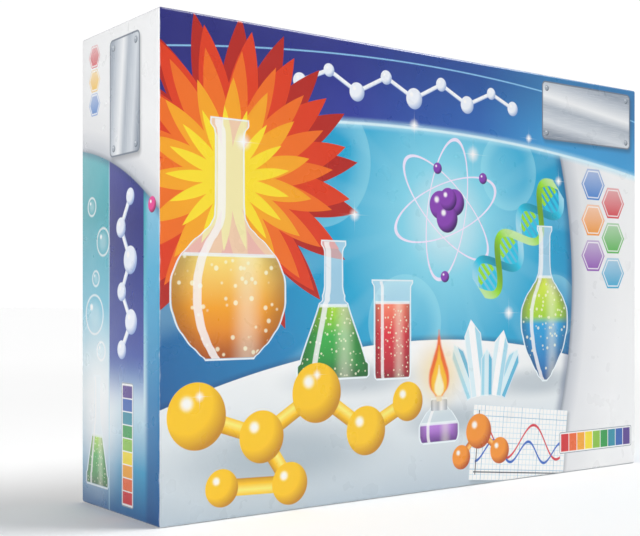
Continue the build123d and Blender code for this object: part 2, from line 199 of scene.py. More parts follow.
# %% Lights
def lamp(name, kind, place, energy, **settings):
    """Light at a place, turned towards the middle of the box."""
    light = bpy.data.lights.new(name, kind)
    light.energy = energy
    for setting, value in settings.items():
        setattr(light, setting, value)
    made = bpy.data.objects.new(name, light)
    made.location = place
    made.rotation_euler = (MIDDLE - Vector(place)).to_track_quat("-Z", "Y").to_euler()
    scene.collection.objects.link(made)


lamp("soft_sun", "SUN", (1.7, -0.8, 2.4), 2.1, angle=radians(28))
lamp("side_softbox", "AREA", (-1.3, -0.35, 0.55), 4.5, shape="SQUARE", size=0.7)

# %% [markdown]
# ## How the print is made
# The real wrap is offset-printed paper under a glossy film. An image would do it, but a picture
# goes soft up close and has to be drawn elsewhere. Here the print is worked out by shader nodes
# instead, which stay sharp at any size. Each shape is a *distance*: a number that says how many
# millimetres a point is inside the shape's outline. A disc's is its radius less the distance to
# its centre. Where the number is positive, ink is laid over the colour that is there already.
#
# Two small helpers keep that readable. A `Field` is a number at every point, and sums of fields
# add Math nodes. A `Page` holds the colour so far and lays inks over it.
#
# An ink is written as the six digits that printers and screens use. The shader wants it linear.


# %% Inks from a printer's codes
def hue(code):
    """Colour as the shader needs it, from six hexadecimal digits."""
    shares = [int(code[place:place + 2], 16) / 255 for place in (0, 2, 4)]
    return tuple(share / 12.92 if share <= 0.04045 else ((share + 0.055) / 1.055) ** 2.4 for share in shares)


WHITE = hue("FFFFFF")
print("half grey is", [round(share, 3) for share in hue("808080")])

# %% [markdown]
# ### Fields
# Python lets a class say what plus, minus and times do. Here they add a Math node and give back
# its result as a new field, so `radius - spot.away()` is written as on paper.


# %% Fields: sums that become Math nodes
class Field:
    """A number at every point of a page."""

    def __init__(self, page, socket):
        self.page, self.socket = page, socket
        self.mark = (socket.node.name, socket.identifier)

    def __add__(self, other):
        return self.page.maths("ADD", self, other)

    def __sub__(self, other):
        return self.page.maths("SUBTRACT", self, other)

    def __rsub__(self, other):
        return self.page.maths("SUBTRACT", other, self)

    def __mul__(self, other):
        return self.page.maths("MULTIPLY", self, other)

    __radd__, __rmul__ = __add__, __mul__

    def size(self):
        return self.page.maths("ABSOLUTE", self)

    def least(self, other):
        return self.page.maths("MINIMUM", self, other)

    def most(self, other):
        return self.page.maths("MAXIMUM", self, other)


print("a field can", [name.strip("_") for name in vars(Field) if callable(vars(Field)[name])])

# %% [markdown]
# ### The page
# A whole page has some two thousand nodes, and the renderer can hold only a few dozen numbers at
# once. It works nodes out in the order they were made, so it copes as long as each number is used
# soon after. Four habits keep it so: each motif is a node group, a sum is never made twice, no
# node asks for a separate clamp, and each motif is moved by a hair of its own, so that no two
# motifs share a number.


# %% A page: where a point is, and the colour so far
HAIR = 1e-4  # millimetres


class Page:
    """Lays inks, one over another, on a flat page measured in millimetres."""

    def __init__(self, tree, u, v, colour, mapping):
        self.tree, self.colour, self.mapping, self.known = tree, colour, mapping, {}
        self.motifs = 0
        self.u, self.v = Field(self, u), Field(self, v)

    def motif(self, draw, *details, **more):
        """Draw into a node group of its own, which takes the colour so far and gives it back."""
        group = bpy.data.node_groups.new(draw.__name__, "ShaderNodeTree")
        for name, way, kind in (("U", "INPUT", "Float"), ("V", "INPUT", "Float"), ("Below", "INPUT", "Color"),
                                ("Colour", "OUTPUT", "Color")):
            group.interface.new_socket(name, in_out=way, socket_type="NodeSocket" + kind)
        given = group.nodes.new("NodeGroupInput").outputs
        sheet = Page(group, given["U"], given["V"], given["Below"], self.mapping)
        self.motifs += 1
        sheet.u, sheet.v = sheet.u + HAIR * self.motifs, sheet.v + HAIR * self.motifs
        draw(sheet, *details, **more)
        group.links.new(sheet.colour, group.nodes.new("NodeGroupOutput").inputs["Colour"])
        made = self.tree.nodes.new("ShaderNodeGroup")
        made.node_tree = group
        self.plug(made.inputs["U"], self.u)
        self.plug(made.inputs["V"], self.v)
        self.plug(made.inputs["Below"], self.colour)
        self.colour = made.outputs["Colour"]

    def plug(self, socket, value):
        """Give a socket a field, another socket, a colour or a number."""
        value = value.socket if isinstance(value, Field) else value
        if isinstance(value, bpy.types.NodeSocket):
            self.tree.links.new(value, socket)
        elif isinstance(value, tuple):
            socket.default_value = (*value, 1)
        else:
            socket.default_value = value

    def maths(self, operation, *values):
        """Result of a Math node, made anew only if it wasn't asked for before."""
        key = (operation, *[value.mark if isinstance(value, Field) else value for value in values])
        if key not in self.known:
            made = self.tree.nodes.new("ShaderNodeMath")
            made.operation = operation
            for socket, value in zip(made.inputs, values):
                self.plug(socket, value)
            self.known[key] = Field(self, made.outputs[0])
        return self.known[key]

    def length(self, across, up):
        """Length of a step across and a step up."""
        return self.maths("SQRT", self.maths("MULTIPLY_ADD", across, across, up * up))

    def slope(self, across, up, u, v):
        """Field that is nought at a point and grows by this much across and this much up."""
        level = -(across * u + up * v)
        if abs(across) > 1e-9:
            level = self.maths("MULTIPLY_ADD", self.u, across, level)
        return self.maths("MULTIPLY_ADD", self.v, up, level) if abs(up) > 1e-9 else level

    def texture(self, kind, output, spot=None, stretch=(1, 1, 1), **sockets):
        """Texture on the page's own place, or on a spot's."""
        made = self.tree.nodes.new(kind)
        at = self.tree.nodes.new("ShaderNodeTexCoord").outputs["Object"]
        steps = [("POINT", self.mapping)]
        if spot:
            u, v, turn, scale = spot.pose
            pose = {"Location": (u, v, 0), "Rotation": (0, 0, radians(turn)), "Scale": (*scale, 1)}
            steps.append(("TEXTURE", pose))
        for way, mapping in (*steps, ("POINT", {"Scale": stretch})):
            turned = self.tree.nodes.new("ShaderNodeMapping")
            turned.vector_type = way
            for name, value in mapping.items():
                turned.inputs[name].default_value = value
            self.tree.links.new(at, turned.inputs["Vector"])
            at = turned.outputs["Vector"]
        self.tree.links.new(at, made.inputs["Vector"])
        for name, value in sockets.items():
            made.inputs[name].default_value = value
        return Field(self, made.outputs[output])

    def spread(self, value, low, high, start=0.0, end=1.0):
        """Soft step of a field from start to end, held at both ends."""
        return self.between(value, low, high, start, end, "SMOOTHSTEP")

    def along(self, value, low, high):
        """How far a field is from low to high, for a ramp, which holds it at both ends."""
        return self.between(value, low, high, 0.0, 1.0, "LINEAR")

    def between(self, value, low, high, start, end, kind):
        """Map Range node with no clamp of its own."""
        key = (kind, value.mark, low, high, start, end)
        if key not in self.known:
            made = self.tree.nodes.new("ShaderNodeMapRange")
            made.interpolation_type, made.clamp = kind, False
            for name, number in zip(("Value", "From Min", "From Max", "To Min", "To Max"), (value, *key[2:])):
                self.plug(made.inputs[name], number)
            self.known[key] = Field(self, made.outputs["Result"])
        return self.known[key]

    def stops(self, value, kind, stops):
        """Color Ramp node along a field from 0 to 1."""
        made = self.tree.nodes.new("ShaderNodeValToRGB")
        ramp = made.color_ramp
        ramp.interpolation = kind
        while len(ramp.elements) < len(stops):
            ramp.elements.new(0.5)
        for element, (place, colour) in zip(ramp.elements, stops):
            element.position, element.color = place, colour
        self.plug(made.inputs[0], value)
        return made.outputs

    def ramp(self, value, stops, steps=False):
        """Colours along a field."""
        opaque = [(place, (*colour, 1)) for place, colour in stops]
        return self.stops(value, "CONSTANT" if steps else "LINEAR", opaque)["Color"]

    def curve(self, value, points):
        """Numbers along a field, joined by a smooth curve: the ramp's alpha carries them."""
        made = self.stops(value, "CARDINAL", [(place, (0, 0, 0, number)) for place, number in points])
        return Field(self, made["Alpha"])

    def ink(self, mask, colour):
        """Lay a colour where the mask is 1, over what is printed there."""
        mixed = self.tree.nodes.new("ShaderNodeMix")
        mixed.data_type = "RGBA"
        for place, value in ((0, mask), (6, self.colour), (7, colour)):
            self.plug(mixed.inputs[place], value)
        self.colour = mixed.outputs[2]


print("a page can", [name for name in vars(Page) if not name.startswith("_")])

# %% [markdown]
# ### Shapes
# Few shapes are needed. A *place* on the page is a page of its own that is moved, turned and
# stretched, so that every motif is drawn upright about its own zero. `inside` turns a distance
# into a mask, with an edge as soft as the dots of a printed picture.


# %% Places on a page
SOFT = 0.3  # millimetres over which a printed edge blurs


class Spot:
    """A place on the page: moved, turned and stretched, with its own measures."""

    def __init__(self, page, u, v, turn=0.0, stretch=(1, 1)):
        self.page, self.pose = page, (u, v, turn, stretch)
        ahead, aside = cos(radians(turn)), sin(radians(turn))
        self.u = page.slope(ahead / stretch[0], aside / stretch[0], u, v)
        self.v = page.slope(-aside / stretch[1], ahead / stretch[1], u, v)

    def away(self):
        """Distance from the spot's zero."""
        return self.page.length(self.u, self.v)

    def slab(self, width, height, corner, u=0.0, v=0.0):
        """Distance inside a rectangle with rounded corners."""
        across = (self.u - u).size() - (width / 2 - corner)
        up = (self.v - v).size() - (height / 2 - corner)
        return corner - self.page.length(across.most(0), up.most(0)) - across.most(up).least(0)

    def angle(self):
        """Turn about the spot's zero, from -pi to pi."""
        return self.page.maths("ARCTAN2", self.v, self.u)


def inside(page, distance, soft=SOFT, strength=1.0):
    """Mask that is full where a distance is positive."""
    return page.spread(distance, -soft, soft, 0.0, strength)


print("printed edges blur over", 2 * SOFT, "mm")

# %% [markdown]
# ### Discs, sticks and balls
# The first motifs. A ball looks round because its shade follows the distance from a lit point, up
# and to the left of its centre, and because a small white window shines on it.


# %% Discs, sticks and balls
def disc(page, u, v, radius, colour, soft=SOFT, strength=1.0):
    """Flat round spot of one colour."""
    page.ink(page.spread(Spot(page, u, v).away(), radius + soft, radius - soft, 0.0, strength), colour)


def stick(page, start, end, width, colour):
    """Straight bar with round ends."""
    across, up = end[0] - start[0], end[1] - start[1]
    spot = Spot(page, (start[0] + end[0]) / 2, (start[1] + end[1]) / 2, degrees(atan2(up, across)))
    past = (spot.u.size() - sqrt(across**2 + up**2) / 2).most(0)
    shade = page.ramp(page.along(spot.v, -width / 2, width / 2), colour)
    page.ink(inside(page, width / 2 - page.length(past, spot.v)), shade)


def ball(page, u, v, radius, dark, plain, light):
    """Glossy ball lit from the upper left."""
    lit = Spot(page, u - 0.34 * radius, v + 0.38 * radius).away()
    shade = page.ramp(
        page.along(lit, 0, 1.45 * radius),
        [(0.0, light), (0.22, plain), (0.60, plain), (0.97, dark), (1.0, dark)],
    )
    disc(page, u, v, radius, shade)
    page.ink(page.spread(lit, 0.28 * radius, 0.08 * radius, 0, 0.92), WHITE)


print("a ball is lit from 0.34 of its radius left and 0.38 up")

# %% [markdown]
# ### Glassware
# Every flask and tube is a shape of revolution, so its outline is one curve: half its width at
# each height. A Color Ramp can hold that curve in its alpha. One motif function then draws them
# all: a pale glass body, the liquid up to its level with darker sides, bubbles, a bright streak
# where a window reflects, and a thin outline.


# %% A glass vessel with its liquid
GLASS = 1.4  # millimetres of wall round a liquid


def profile(page, spot, height, widest, outline):
    """Distance inside a turned shape, and half its width, from points of (height, half width)."""
    half = page.curve(page.along(spot.v, 0, height), outline) * widest
    wall = half - spot.u.size()
    return wall.least(spot.v.least(height - spot.v)), half


def froth(page, spot, scale, most):
    """Bubbles of uneven size, as a mask."""
    cells = page.texture("ShaderNodeTexVoronoi", "Distance", spot, Scale=scale, Randomness=0.9)
    return page.spread(cells, 0.32, 0.20, 0.0, most)


def vessel(page, spot, height, widest, outline, level, liquid, bubbles=0.0):
    """Glassware filled to a level with a liquid of ramp colours."""
    wall, half = profile(page, spot, height, widest, outline)
    page.ink(inside(page, wall, strength=0.42), hue("EAF9FF"))
    fill = (wall - GLASS).least(level - spot.v)
    tint = page.ramp(page.along(spot.v, 0, level), liquid)
    page.ink(inside(page, fill), tint)
    rounding = page.spread(wall, 0, 0.5 * widest, 0.55, 0.0)
    deep = tuple(0.25 * part for part in liquid[0][1])
    page.ink(page.maths("MULTIPLY", inside(page, fill), rounding), deep)
    lit = page.spread((spot.u - 0.3 * widest).size(), 0, 0.35 * widest, 0.35, 0.0)
    page.ink(page.maths("MULTIPLY", inside(page, fill), lit), hue("FFFFE8"))
    if bubbles:
        well_inside = inside(page, fill - 1.0)
        page.ink(page.maths("MULTIPLY", well_inside, froth(page, spot, bubbles, 0.7)), hue("FFFFE0"))
    surface = 1.1 - (spot.v - level).size()
    page.ink(inside(page, surface.least(wall - GLASS), strength=0.8), hue("F4FDFF"))
    streak = 0.07 * widest - (spot.u + half * 0.55).size()
    page.ink(inside(page, streak.least(wall - 1.2), strength=0.75), WHITE)
    page.ink(inside(page, 0.5 - (wall - 0.5).size(), strength=0.9), hue("F2FBFF"))


print("glass is drawn", GLASS, "mm thick")

# %% [markdown]
# ### Outlines of glassware
# Each is a list of (share of the height, share of half the width), upwards from the foot. The
# ramp joins them smoothly, so a shoulder takes two or three points and a straight neck only two.

# %% Outlines of glassware
ROUND_FLASK = [(0, 0.42), (0.02, 0.50), (0.06, 0.66), (0.12, 0.84), (0.20, 0.97), (0.28, 1.0), (0.36, 0.96),
               (0.44, 0.80), (0.50, 0.58), (0.54, 0.40), (0.58, 0.29), (0.63, 0.26), (0.70, 0.255),
               (0.93, 0.255), (0.955, 0.28), (0.97, 0.33), (1.0, 0.33)]
CONE_FLASK = [(0, 0.92), (0.02, 0.99), (0.05, 1.0), (0.12, 0.93), (0.55, 0.40), (0.61, 0.31), (0.66, 0.265),
              (0.72, 0.26), (0.92, 0.26), (0.95, 0.30), (0.965, 0.34), (1.0, 0.34)]
PEAR_FLASK = [(0, 0.10), (0.03, 0.26), (0.08, 0.44), (0.18, 0.74), (0.30, 0.94), (0.40, 1.0), (0.49, 0.93),
              (0.57, 0.70), (0.63, 0.46), (0.68, 0.31), (0.74, 0.25), (0.93, 0.24), (0.955, 0.27),
              (0.97, 0.32), (1.0, 0.32)]
BEAKER = [(0, 0.76), (0.02, 0.85), (0.05, 0.89), (0.10, 0.90), (0.90, 0.90), (0.94, 0.92), (0.97, 1.0),
          (1.0, 1.0)]
print("points", [len(outline) for outline in (ROUND_FLASK, CONE_FLASK, PEAR_FLASK, BEAKER)])

# %% [markdown]
# ### More shapes
# A hexagon is cut by three pairs of parallel lines. A star's radius swings between its valleys
# and its peaks as the angle goes round. Where two soft bands cross, a sparkle is left, and a flame
# is the same outline three times, each smaller and lighter.


# %% Hexagons, stars, glints and flames
HALF_TURN_OF_SIX = radians(30)
FLAME = [(0, 0.35), (0.10, 0.80), (0.25, 1.0), (0.45, 0.80), (0.70, 0.34), (0.90, 0.10), (1.0, 0.02)]
FLAME_COLOURS = ((1.0, hue("F26A1B")), (0.76, hue("FFC21F")), (0.46, hue("FFF6C8")))  # share, ink


def hexagon(spot, reach):
    """Distance inside a six-sided shape whose flats stand at this reach."""
    slanted = spot.u.size() * cos(HALF_TURN_OF_SIX) + spot.v.size() * sin(HALF_TURN_OF_SIX)
    return reach - slanted.most(spot.v.size())


def star(spot, points, valley, peak, turned=0.0):
    """Distance inside a star, measured along its radius."""
    page = spot.page
    round_about = spot.angle() * (points / (2 * pi)) + turned
    wave = page.maths("PINGPONG", round_about, 0.5) * 2
    return wave * (peak - valley) + valley - spot.away()


def glint(page, u, v, reach, strength=1.0):
    """Four-pointed sparkle."""
    spot = Spot(page, u, v)
    cross = spot.u.size() * spot.v.size()
    glow = page.spread(spot.away(), 0, reach, 1, 0)
    arms = page.spread(cross, 0, 0.05 * reach, strength, 0)
    page.ink(page.maths("MULTIPLY", glow, arms), WHITE)
    page.ink(page.spread(spot.away(), 0, 0.35 * reach, 0.85 * strength, 0), WHITE)


def flame(page, spot, height, widest):
    """Flame in three nested colours."""
    for share, colour in FLAME_COLOURS:
        wall = profile(page, spot, share * height, share * widest, FLAME)[0]
        page.ink(inside(page, wall, soft=1.2), colour)


print("a flame has", len(FLAME_COLOURS), "colours")

# %% [markdown]
# ### Molecules, an atom and a helix
# The ornaments of science. A molecule is sticks first and balls over them. The atom's orbits are
# rings on a stretched place, so they become ellipses whose line is finer where it runs across.
# The helix is two sine waves half a turn apart, with rungs between them.


# %% Molecules, an atom and a helix
SQUASH = 0.36  # an orbit's height as a share of its length
ORBITS = ((20, 35), (80, 200), (140, 300))  # an orbit's turn, and where its electron is
NUCLEUS = ((-0.13, 0.05, 0.2), (0.14, 0.1, 0.19), (0.0, -0.13, 0.2), (0.02, 0.14, 0.16))


def molecule(page, balls, bonds, width, inks):
    """Balls (u, v, radius) joined by sticks, in a dark, a plain and a light ink."""
    dark, plain, light = inks
    for start, end in bonds:
        stick(page, balls[start][:2], balls[end][:2], width,
              [(0.0, dark), (0.35, plain), (0.68, light), (1.0, plain)])
    for u, v, radius in balls:
        ball(page, u, v, radius, dark, plain, light)


def chain(page, balls, width, inks):
    """Molecule whose balls are joined one after another."""
    molecule(page, balls, [(place, place + 1) for place in range(len(balls) - 1)], width, inks)


def atom(page, u, v, reach, inks, line):
    """Nucleus of four balls inside three orbits, each with its electron."""
    for turn, _ in ORBITS:
        orbit = Spot(page, u, v, turn, (1.0, SQUASH))
        ring = 1.3 - (orbit.away() - reach).size()
        page.ink(inside(page, ring, strength=0.95), line)
    for across, up, share in NUCLEUS:
        ball(page, u + across * reach, v + up * reach, share * reach, *inks)
    for turn, along in ORBITS:
        out = Vector((reach * cos(radians(along)), SQUASH * reach * sin(radians(along))))
        out = Matrix.Rotation(radians(turn), 2) @ out
        ball(page, u + out.x, v + out.y, 0.08 * reach, *inks)


def helix(page, spot, length, swing, pitch, first, second):
    """Double helix along a place's u, with coloured rungs."""
    phase = spot.u * (2 * pi / pitch)
    height = page.maths("SINE", phase) * swing
    ends = length / 2 - spot.u.size()
    rung = page.maths("PINGPONG", spot.u, pitch / 12) - pitch / 24
    bar = (pitch / 40 - rung.size()).least(height.size() - spot.v.size()).least(ends)
    tint = page.ramp(page.along(spot.v, -swing, swing), [(0.0, first), (0.5, second)], steps=True)
    page.ink(inside(page, bar), tint)
    slope = page.maths("COSINE", phase) * (swing * 2 * pi / pitch)
    lean = page.maths("INVERSE_SQRT", page.maths("MULTIPLY_ADD", slope, slope, 1.0))
    near = page.along(slope, -2, 2)
    for side, colour in ((1, first), (-1, second)):
        off = (spot.v - height * side).size()
        strand = (3.0 - page.maths("MULTIPLY", off, lean)).least(ends)
        dark = tuple(0.35 * part for part in colour)
        light = tuple(0.5 + 0.5 * part for part in colour)
        shade = page.ramp(near, [(0.0, dark), (0.5, colour), (1.0, light)])
        page.ink(inside(page, strand), shade)


print("an atom has", len(ORBITS), "orbits and", len(NUCLEUS), "balls in its nucleus")

# %% [markdown]
# ## The front
# The print of such a box is crowded and bright: a glowing blue room, a white table, glassware
# with coloured liquids, and a plain white column on the right. The picture is designed here, for
# this box: a burst of orange, a glowing atom, a helix, flasks on a table, and a big yellow
# molecule. The metal plates are bare.
#
# Inks come first. A glossy ball takes three of them, and a liquid or a metal takes a ramp.

# %% Inks
YELLOW_PLASTIC = (hue("C98A00"), hue("FFCB05"), hue("FFF07A"))
ORANGE_BALL = (hue("B84A00"), hue("F7941D"), hue("FFD27A"))
PURPLE_BALL = (hue("3A1060"), hue("8A3FB4"), hue("E2B6F2"))
PINK_BALL = (hue("8C0F4C"), hue("EC4A98"), hue("FFC0DE"))
SILVER = [(0.0, hue("8E99A8")), (0.18, hue("D9DFE6")), (0.45, hue("AEB8C4")),
          (0.62, hue("F6F8FA")), (0.85, hue("C2CAD4")), (1.0, hue("98A3B2"))]
AMBER = [(0.0, hue("D9660A")), (0.5, hue("F9A51A")), (1.0, hue("FFE680"))]
GREEN = [(0.0, hue("0E7A32")), (0.6, hue("35B44A")), (1.0, hue("B4E61E"))]
RED = [(0.0, hue("A90F2C")), (0.6, hue("E4263A")), (1.0, hue("FF8A6B"))]
BLUE = [(0.0, hue("0B5FAE")), (0.55, hue("12A5E0")), (0.62, hue("A6D92A")), (1.0, hue("E3F24A"))]
print("inks of the balls", len((YELLOW_PLASTIC, ORANGE_BALL, PURPLE_BALL, PINK_BALL)), "and of the liquids",
      len((AMBER, GREEN, RED, BLUE)))

# %% [markdown]
# ### Behind everything
# The room glows from one place, with rays and soft round panes of light. A very large disc, of
# which only the top shows, makes the table's curved edge, and another the white column's.


# %% The room, the table and the white column
PANES = ((118, 232, 46), (300, 236, 30), (352, 132, 26), (196, 122, 34))  # u, v, radius
SHADOWS = ((150, 84, 75, 16), (330, 74, 70, 15), (90, 38, 110, 30), (240, 50, 60, 16))  # u, v, reaches


def backdrop(page):
    """Glowing room with a white table in it."""
    glow = Spot(page, 235, 196)
    room = page.ramp(
        page.along(glow.away(), 0, 300),
        [(0.0, hue("E4F8FC")), (0.14, hue("86D8EE")), (0.34, hue("16A9D6")), (0.58, hue("0582BC")),
         (1.0, hue("0B4A8E"))],
    )
    page.ink(1.0, room)
    ray = page.maths("SINE", glow.angle() * 15 + 0.8)
    reach = page.spread(glow.away(), 20, 190, 0.0, 1.0)
    rays = page.maths("MULTIPLY", page.spread(ray, 0.1, 1.0, 0.0, 0.22), reach)
    page.ink(rays, hue("BDF1FB"))
    for u, v, radius in PANES:
        pane = Spot(page, u, v)
        rim = page.spread(pane.away(), 0.55 * radius, radius, 0.0, 0.35)
        page.ink(page.maths("MULTIPLY", rim, inside(page, radius - pane.away())), hue("A9EBF7"))
    table = Spot(page, 225, -575)
    top = 684 - table.away()
    page.ink(page.spread(top, -5, 0, 0.0, 0.5), hue("053E78"))
    cloth = page.ramp(
        page.along(page.v, 0, 112),
        [(0.0, hue("BCCBD6")), (0.35, hue("DCE5EA")), (0.8, hue("F4F7F8")), (1.0, hue("FFFFFF"))],
    )
    page.ink(inside(page, top), cloth)
    for u, v, wide, deep in SHADOWS:
        shadow = Spot(page, u, v, 0, (wide, deep))
        page.ink(page.spread(shadow.away(), 0.2, 1.0, 0.42, 0.0), hue("5E7F95"))


def white_column(page):
    """White field past a wide curve, with a shadow on the room beside it."""
    past = Spot(page, 8, 150).away() - 364
    page.ink(page.spread(past, -9, 0, 0.0, 0.55), hue("0A3F78"))
    sheet = page.ramp(
        page.along(past, 0, 60),
        [(0.0, hue("8D96A3")), (0.06, hue("C5CAD2")), (0.3, hue("E9EBEE")), (1.0, hue("F7F8F9"))],
    )
    page.ink(inside(page, past, soft=0.5), sheet)


print("light through", len(PANES), "panes")

# %% [markdown]
# ### Banner and plate
# The banner is one more large disc. The plate is brushed metal: a ramp of light and dark greys
# across it, and noise stretched along it, with a rivet in each corner.


# %% The banner and the silver plate
def banner(page):
    """Indigo band along the top with a bright lower edge and a chain of white balls."""
    above = Spot(page, 215, -1250).away() - 1510
    body = page.ramp(
        page.along(page.u, 40, 345),
        [(0.0, hue("2B2A86")), (0.35, hue("2F3C9E")), (0.75, hue("2767B8")), (1.0, hue("3FA0DA"))],
    )
    page.ink(inside(page, above, soft=0.5), body)
    sheen = page.spread(above, 0, 55, 0.0, 0.45)
    page.ink(page.maths("MULTIPLY", sheen, inside(page, above)), hue("17206E"))
    line = 0.9 - above.size()
    page.ink(inside(page, line, soft=0.6), WHITE)
    page.ink(page.spread(above.size(), 0, 5, 0.6, 0.0), hue("BFEFFF"))
    page.ink(inside(page, 0.5 - (above - 46).size(), soft=0.4, strength=0.8), hue("9BD8FF"))
    balls = [(104, 282, 5.5), (128, 292, 4.5), (152, 280, 6.5), (178, 293, 5), (204, 281, 7.5),
             (230, 294, 5), (256, 282, 6.5), (281, 293, 4.5), (304, 284, 5.5)]
    chain(page, balls, 3.0, (hue("9FB6DE"), hue("F2F7FF"), WHITE))
    for u, v, reach in ((96, 262, 12), (204, 262, 16), (322, 263, 12)):
        glint(page, u, v, reach)


RIVET, RIVET_IN = 2.3, 5.5  # radius, and how far in from the plate's edges


def silver_plate(page, u, v, width, height, turn=0.0):
    """Brushed plate with four rivets and nothing on it."""
    shade = Spot(page, u + 1.5, v - 2.5, turn)
    page.ink(inside(page, shade.slab(width, height, 4), soft=2.5, strength=0.45), hue("2A3440"))
    plate = Spot(page, u, v, turn)
    form = plate.slab(width, height, 4)
    page.ink(inside(page, form), hue("76818F"))
    face = page.ramp(page.along(plate.v + plate.u * 0.12, -height / 2, height / 2), SILVER)
    page.ink(inside(page, form - 1.1), face)
    brushing = page.texture("ShaderNodeTexNoise", "Fac", plate, (0.05, 2.2, 1), Scale=1.0, Detail=3.0)
    strokes = page.spread(brushing, 0.45, 0.7, 0.0, 0.3)
    page.ink(page.maths("MULTIPLY", strokes, inside(page, form - 1.1)), hue("F4F6F8"))
    for across in (-1, 1):
        for up in (-1, 1):
            out = Vector((across * (width / 2 - RIVET_IN), up * (height / 2 - RIVET_IN)))
            out.rotate(Matrix.Rotation(radians(turn), 2))
            ball(page, u + out.x, v + out.y, RIVET, hue("4C5561"), hue("A5AFBB"), WHITE)


print("plates have four rivets of", 2 * RIVET, "mm")

# %% [markdown]
# ### Crystals
# Crystals are bars with a pointed end, and three flat tones make their facets. A cluster grows
# from one place, the outer ones first, so that the middle ones stand before them.


# %% Crystals
CRYSTAL_BLUE = (hue("5FB9DC"), hue("A5DDF0"), hue("DDF4FB"))
CRYSTAL_PALE = (hue("A9DCEF"), hue("DDF3FA"), WHITE)
SHARDS = (  # how far across, turn, width, height, tones
    (-14, 26, 13, 44, CRYSTAL_BLUE), (14, -30, 13, 40, CRYSTAL_BLUE), (-7, 9, 17, 58, CRYSTAL_PALE),
    (8, -12, 15, 50, CRYSTAL_PALE), (0, -1, 12, 36, CRYSTAL_BLUE),
)


def shard(page, u, v, turn, width, height, tones):
    """Crystal that grows from a point, in three flat tones."""
    spot = Spot(page, u, v, turn)
    point = (height - spot.v) * 0.55 - spot.u.size() * 0.75
    form = (width / 2 - spot.u.size()).least(point).least(spot.v)
    facets = page.ramp(
        page.along(spot.u, -width / 2, width / 2),
        [(0.0, tones[1]), (0.3, tones[2]), (0.68, tones[0])], steps=True,
    )
    page.ink(inside(page, form), facets)
    page.ink(inside(page, 0.35 - (form - 0.35).size(), strength=0.7), WHITE)


def crystals(page, u, v):
    """Cluster of pale crystals that grow from one place."""
    for across, turn, wide, high, tones in SHARDS:
        shard(page, u + across, v, turn, wide, high, tones)


print("crystals", len(SHARDS))

# %% [markdown]
# ### Graph paper
# The sheet is a slab with a pattern of lines that repeats, fine every 4 mm and stronger every
# 20 mm, and two waves drawn over it by pen.


# %% Graph paper
GRID = ((4, "CFE4F0"), (20, "8DB9D6"))  # millimetres between lines, and their ink
WAVES = ((2, 13, 9.0, "D8243C"), (-6, 8, 6.0, "1B62C4"))  # height, swing, wave's length, ink


def graph_sheet(page, u, v, turn, width, height):
    """Sheet of graph paper with two drawn curves and axes."""
    shade = Spot(page, u + 2, v - 2, turn)
    page.ink(inside(page, shade.slab(width, height, 1), soft=3, strength=0.4), hue("31495C"))
    sheet = Spot(page, u, v, turn)
    form = sheet.slab(width, height, 0.6)
    page.ink(inside(page, form), hue("FDFDFB"))
    for step, code in GRID:
        for along in (sheet.u, sheet.v):
            line = 0.22 - page.maths("PINGPONG", along, step / 2)
            page.ink(inside(page, line.least(form), soft=0.15), hue(code))
    for offset, tall, wave, pen in WAVES:
        swing = page.maths("SINE", sheet.u * (1 / wave)) * tall
        line = 0.8 - (sheet.v - swing - offset).size() * 0.75
        page.ink(inside(page, line.least(form - 5)), hue(pen))
    for u0, v0, wide, high in ((-width / 2 + 6, 0, 0.9, height - 8), (0, -height / 2 + 6, width - 8, 0.9)):
        page.ink(inside(page, sheet.slab(wide, high, 0.3, u0, v0)), hue("2B3440"))


print("a grid in", len(GRID), "steps and", len(WAVES), "waves")

# %% [markdown]
# ### Burner
# A spirit burner is the same turned glass as the flasks, with a metal collar, a wick and a flame
# on top. All its parts are shares of one size.


# %% Burner
BURNER_POT = [(0, 0.78), (0.05, 0.92), (0.2, 1.0), (0.45, 0.95), (0.7, 0.62), (0.8, 0.42), (1.0, 0.40)]


def burner(page, u, v, size):
    """Small spirit burner with its flame."""
    pot = Spot(page, u, v)
    vessel(page, pot, 0.50 * size, 0.30 * size, BURNER_POT, 0.22 * size,
           [(0.0, hue("7A3AA8")), (1.0, hue("C58BE6"))])
    collar = Spot(page, u, v + 0.42 * size)
    form = collar.slab(0.24 * size, 0.12 * size, 1.2)
    metal = page.ramp(page.along(collar.u, -0.12 * size, 0.12 * size), SILVER)
    page.ink(inside(page, form), metal)
    wick = Spot(page, u, v + 0.51 * size)
    page.ink(inside(page, wick.slab(0.08 * size, 0.1 * size, 1)), hue("EDE3CE"))
    page.ink(page.spread(Spot(page, u, v + 0.78 * size).away(), 0, 0.5 * size, 0.6, 0), hue("FFD45A"))
    flame(page, Spot(page, u, v + 0.52 * size), 0.72 * size, 0.15 * size)


print("the burner's pot has", len(BURNER_POT), "points")

# %% [markdown]
# ### Colour scale
# A row of chips from red to violet, as liquids are compared with. A ramp with hard steps gives
# the chips, and one white line that repeats parts them.


# %% Colour scale
SCALE_CHIPS = [hue(code) for code in ("D8202A", "F0682A", "F8A81C", "F9E11E", "8CC63E", "1F9E48", "1E8FA8",
                                      "2560B4", "51338F")]
FRAME = 3  # millimetres that the white frame is larger than the chips


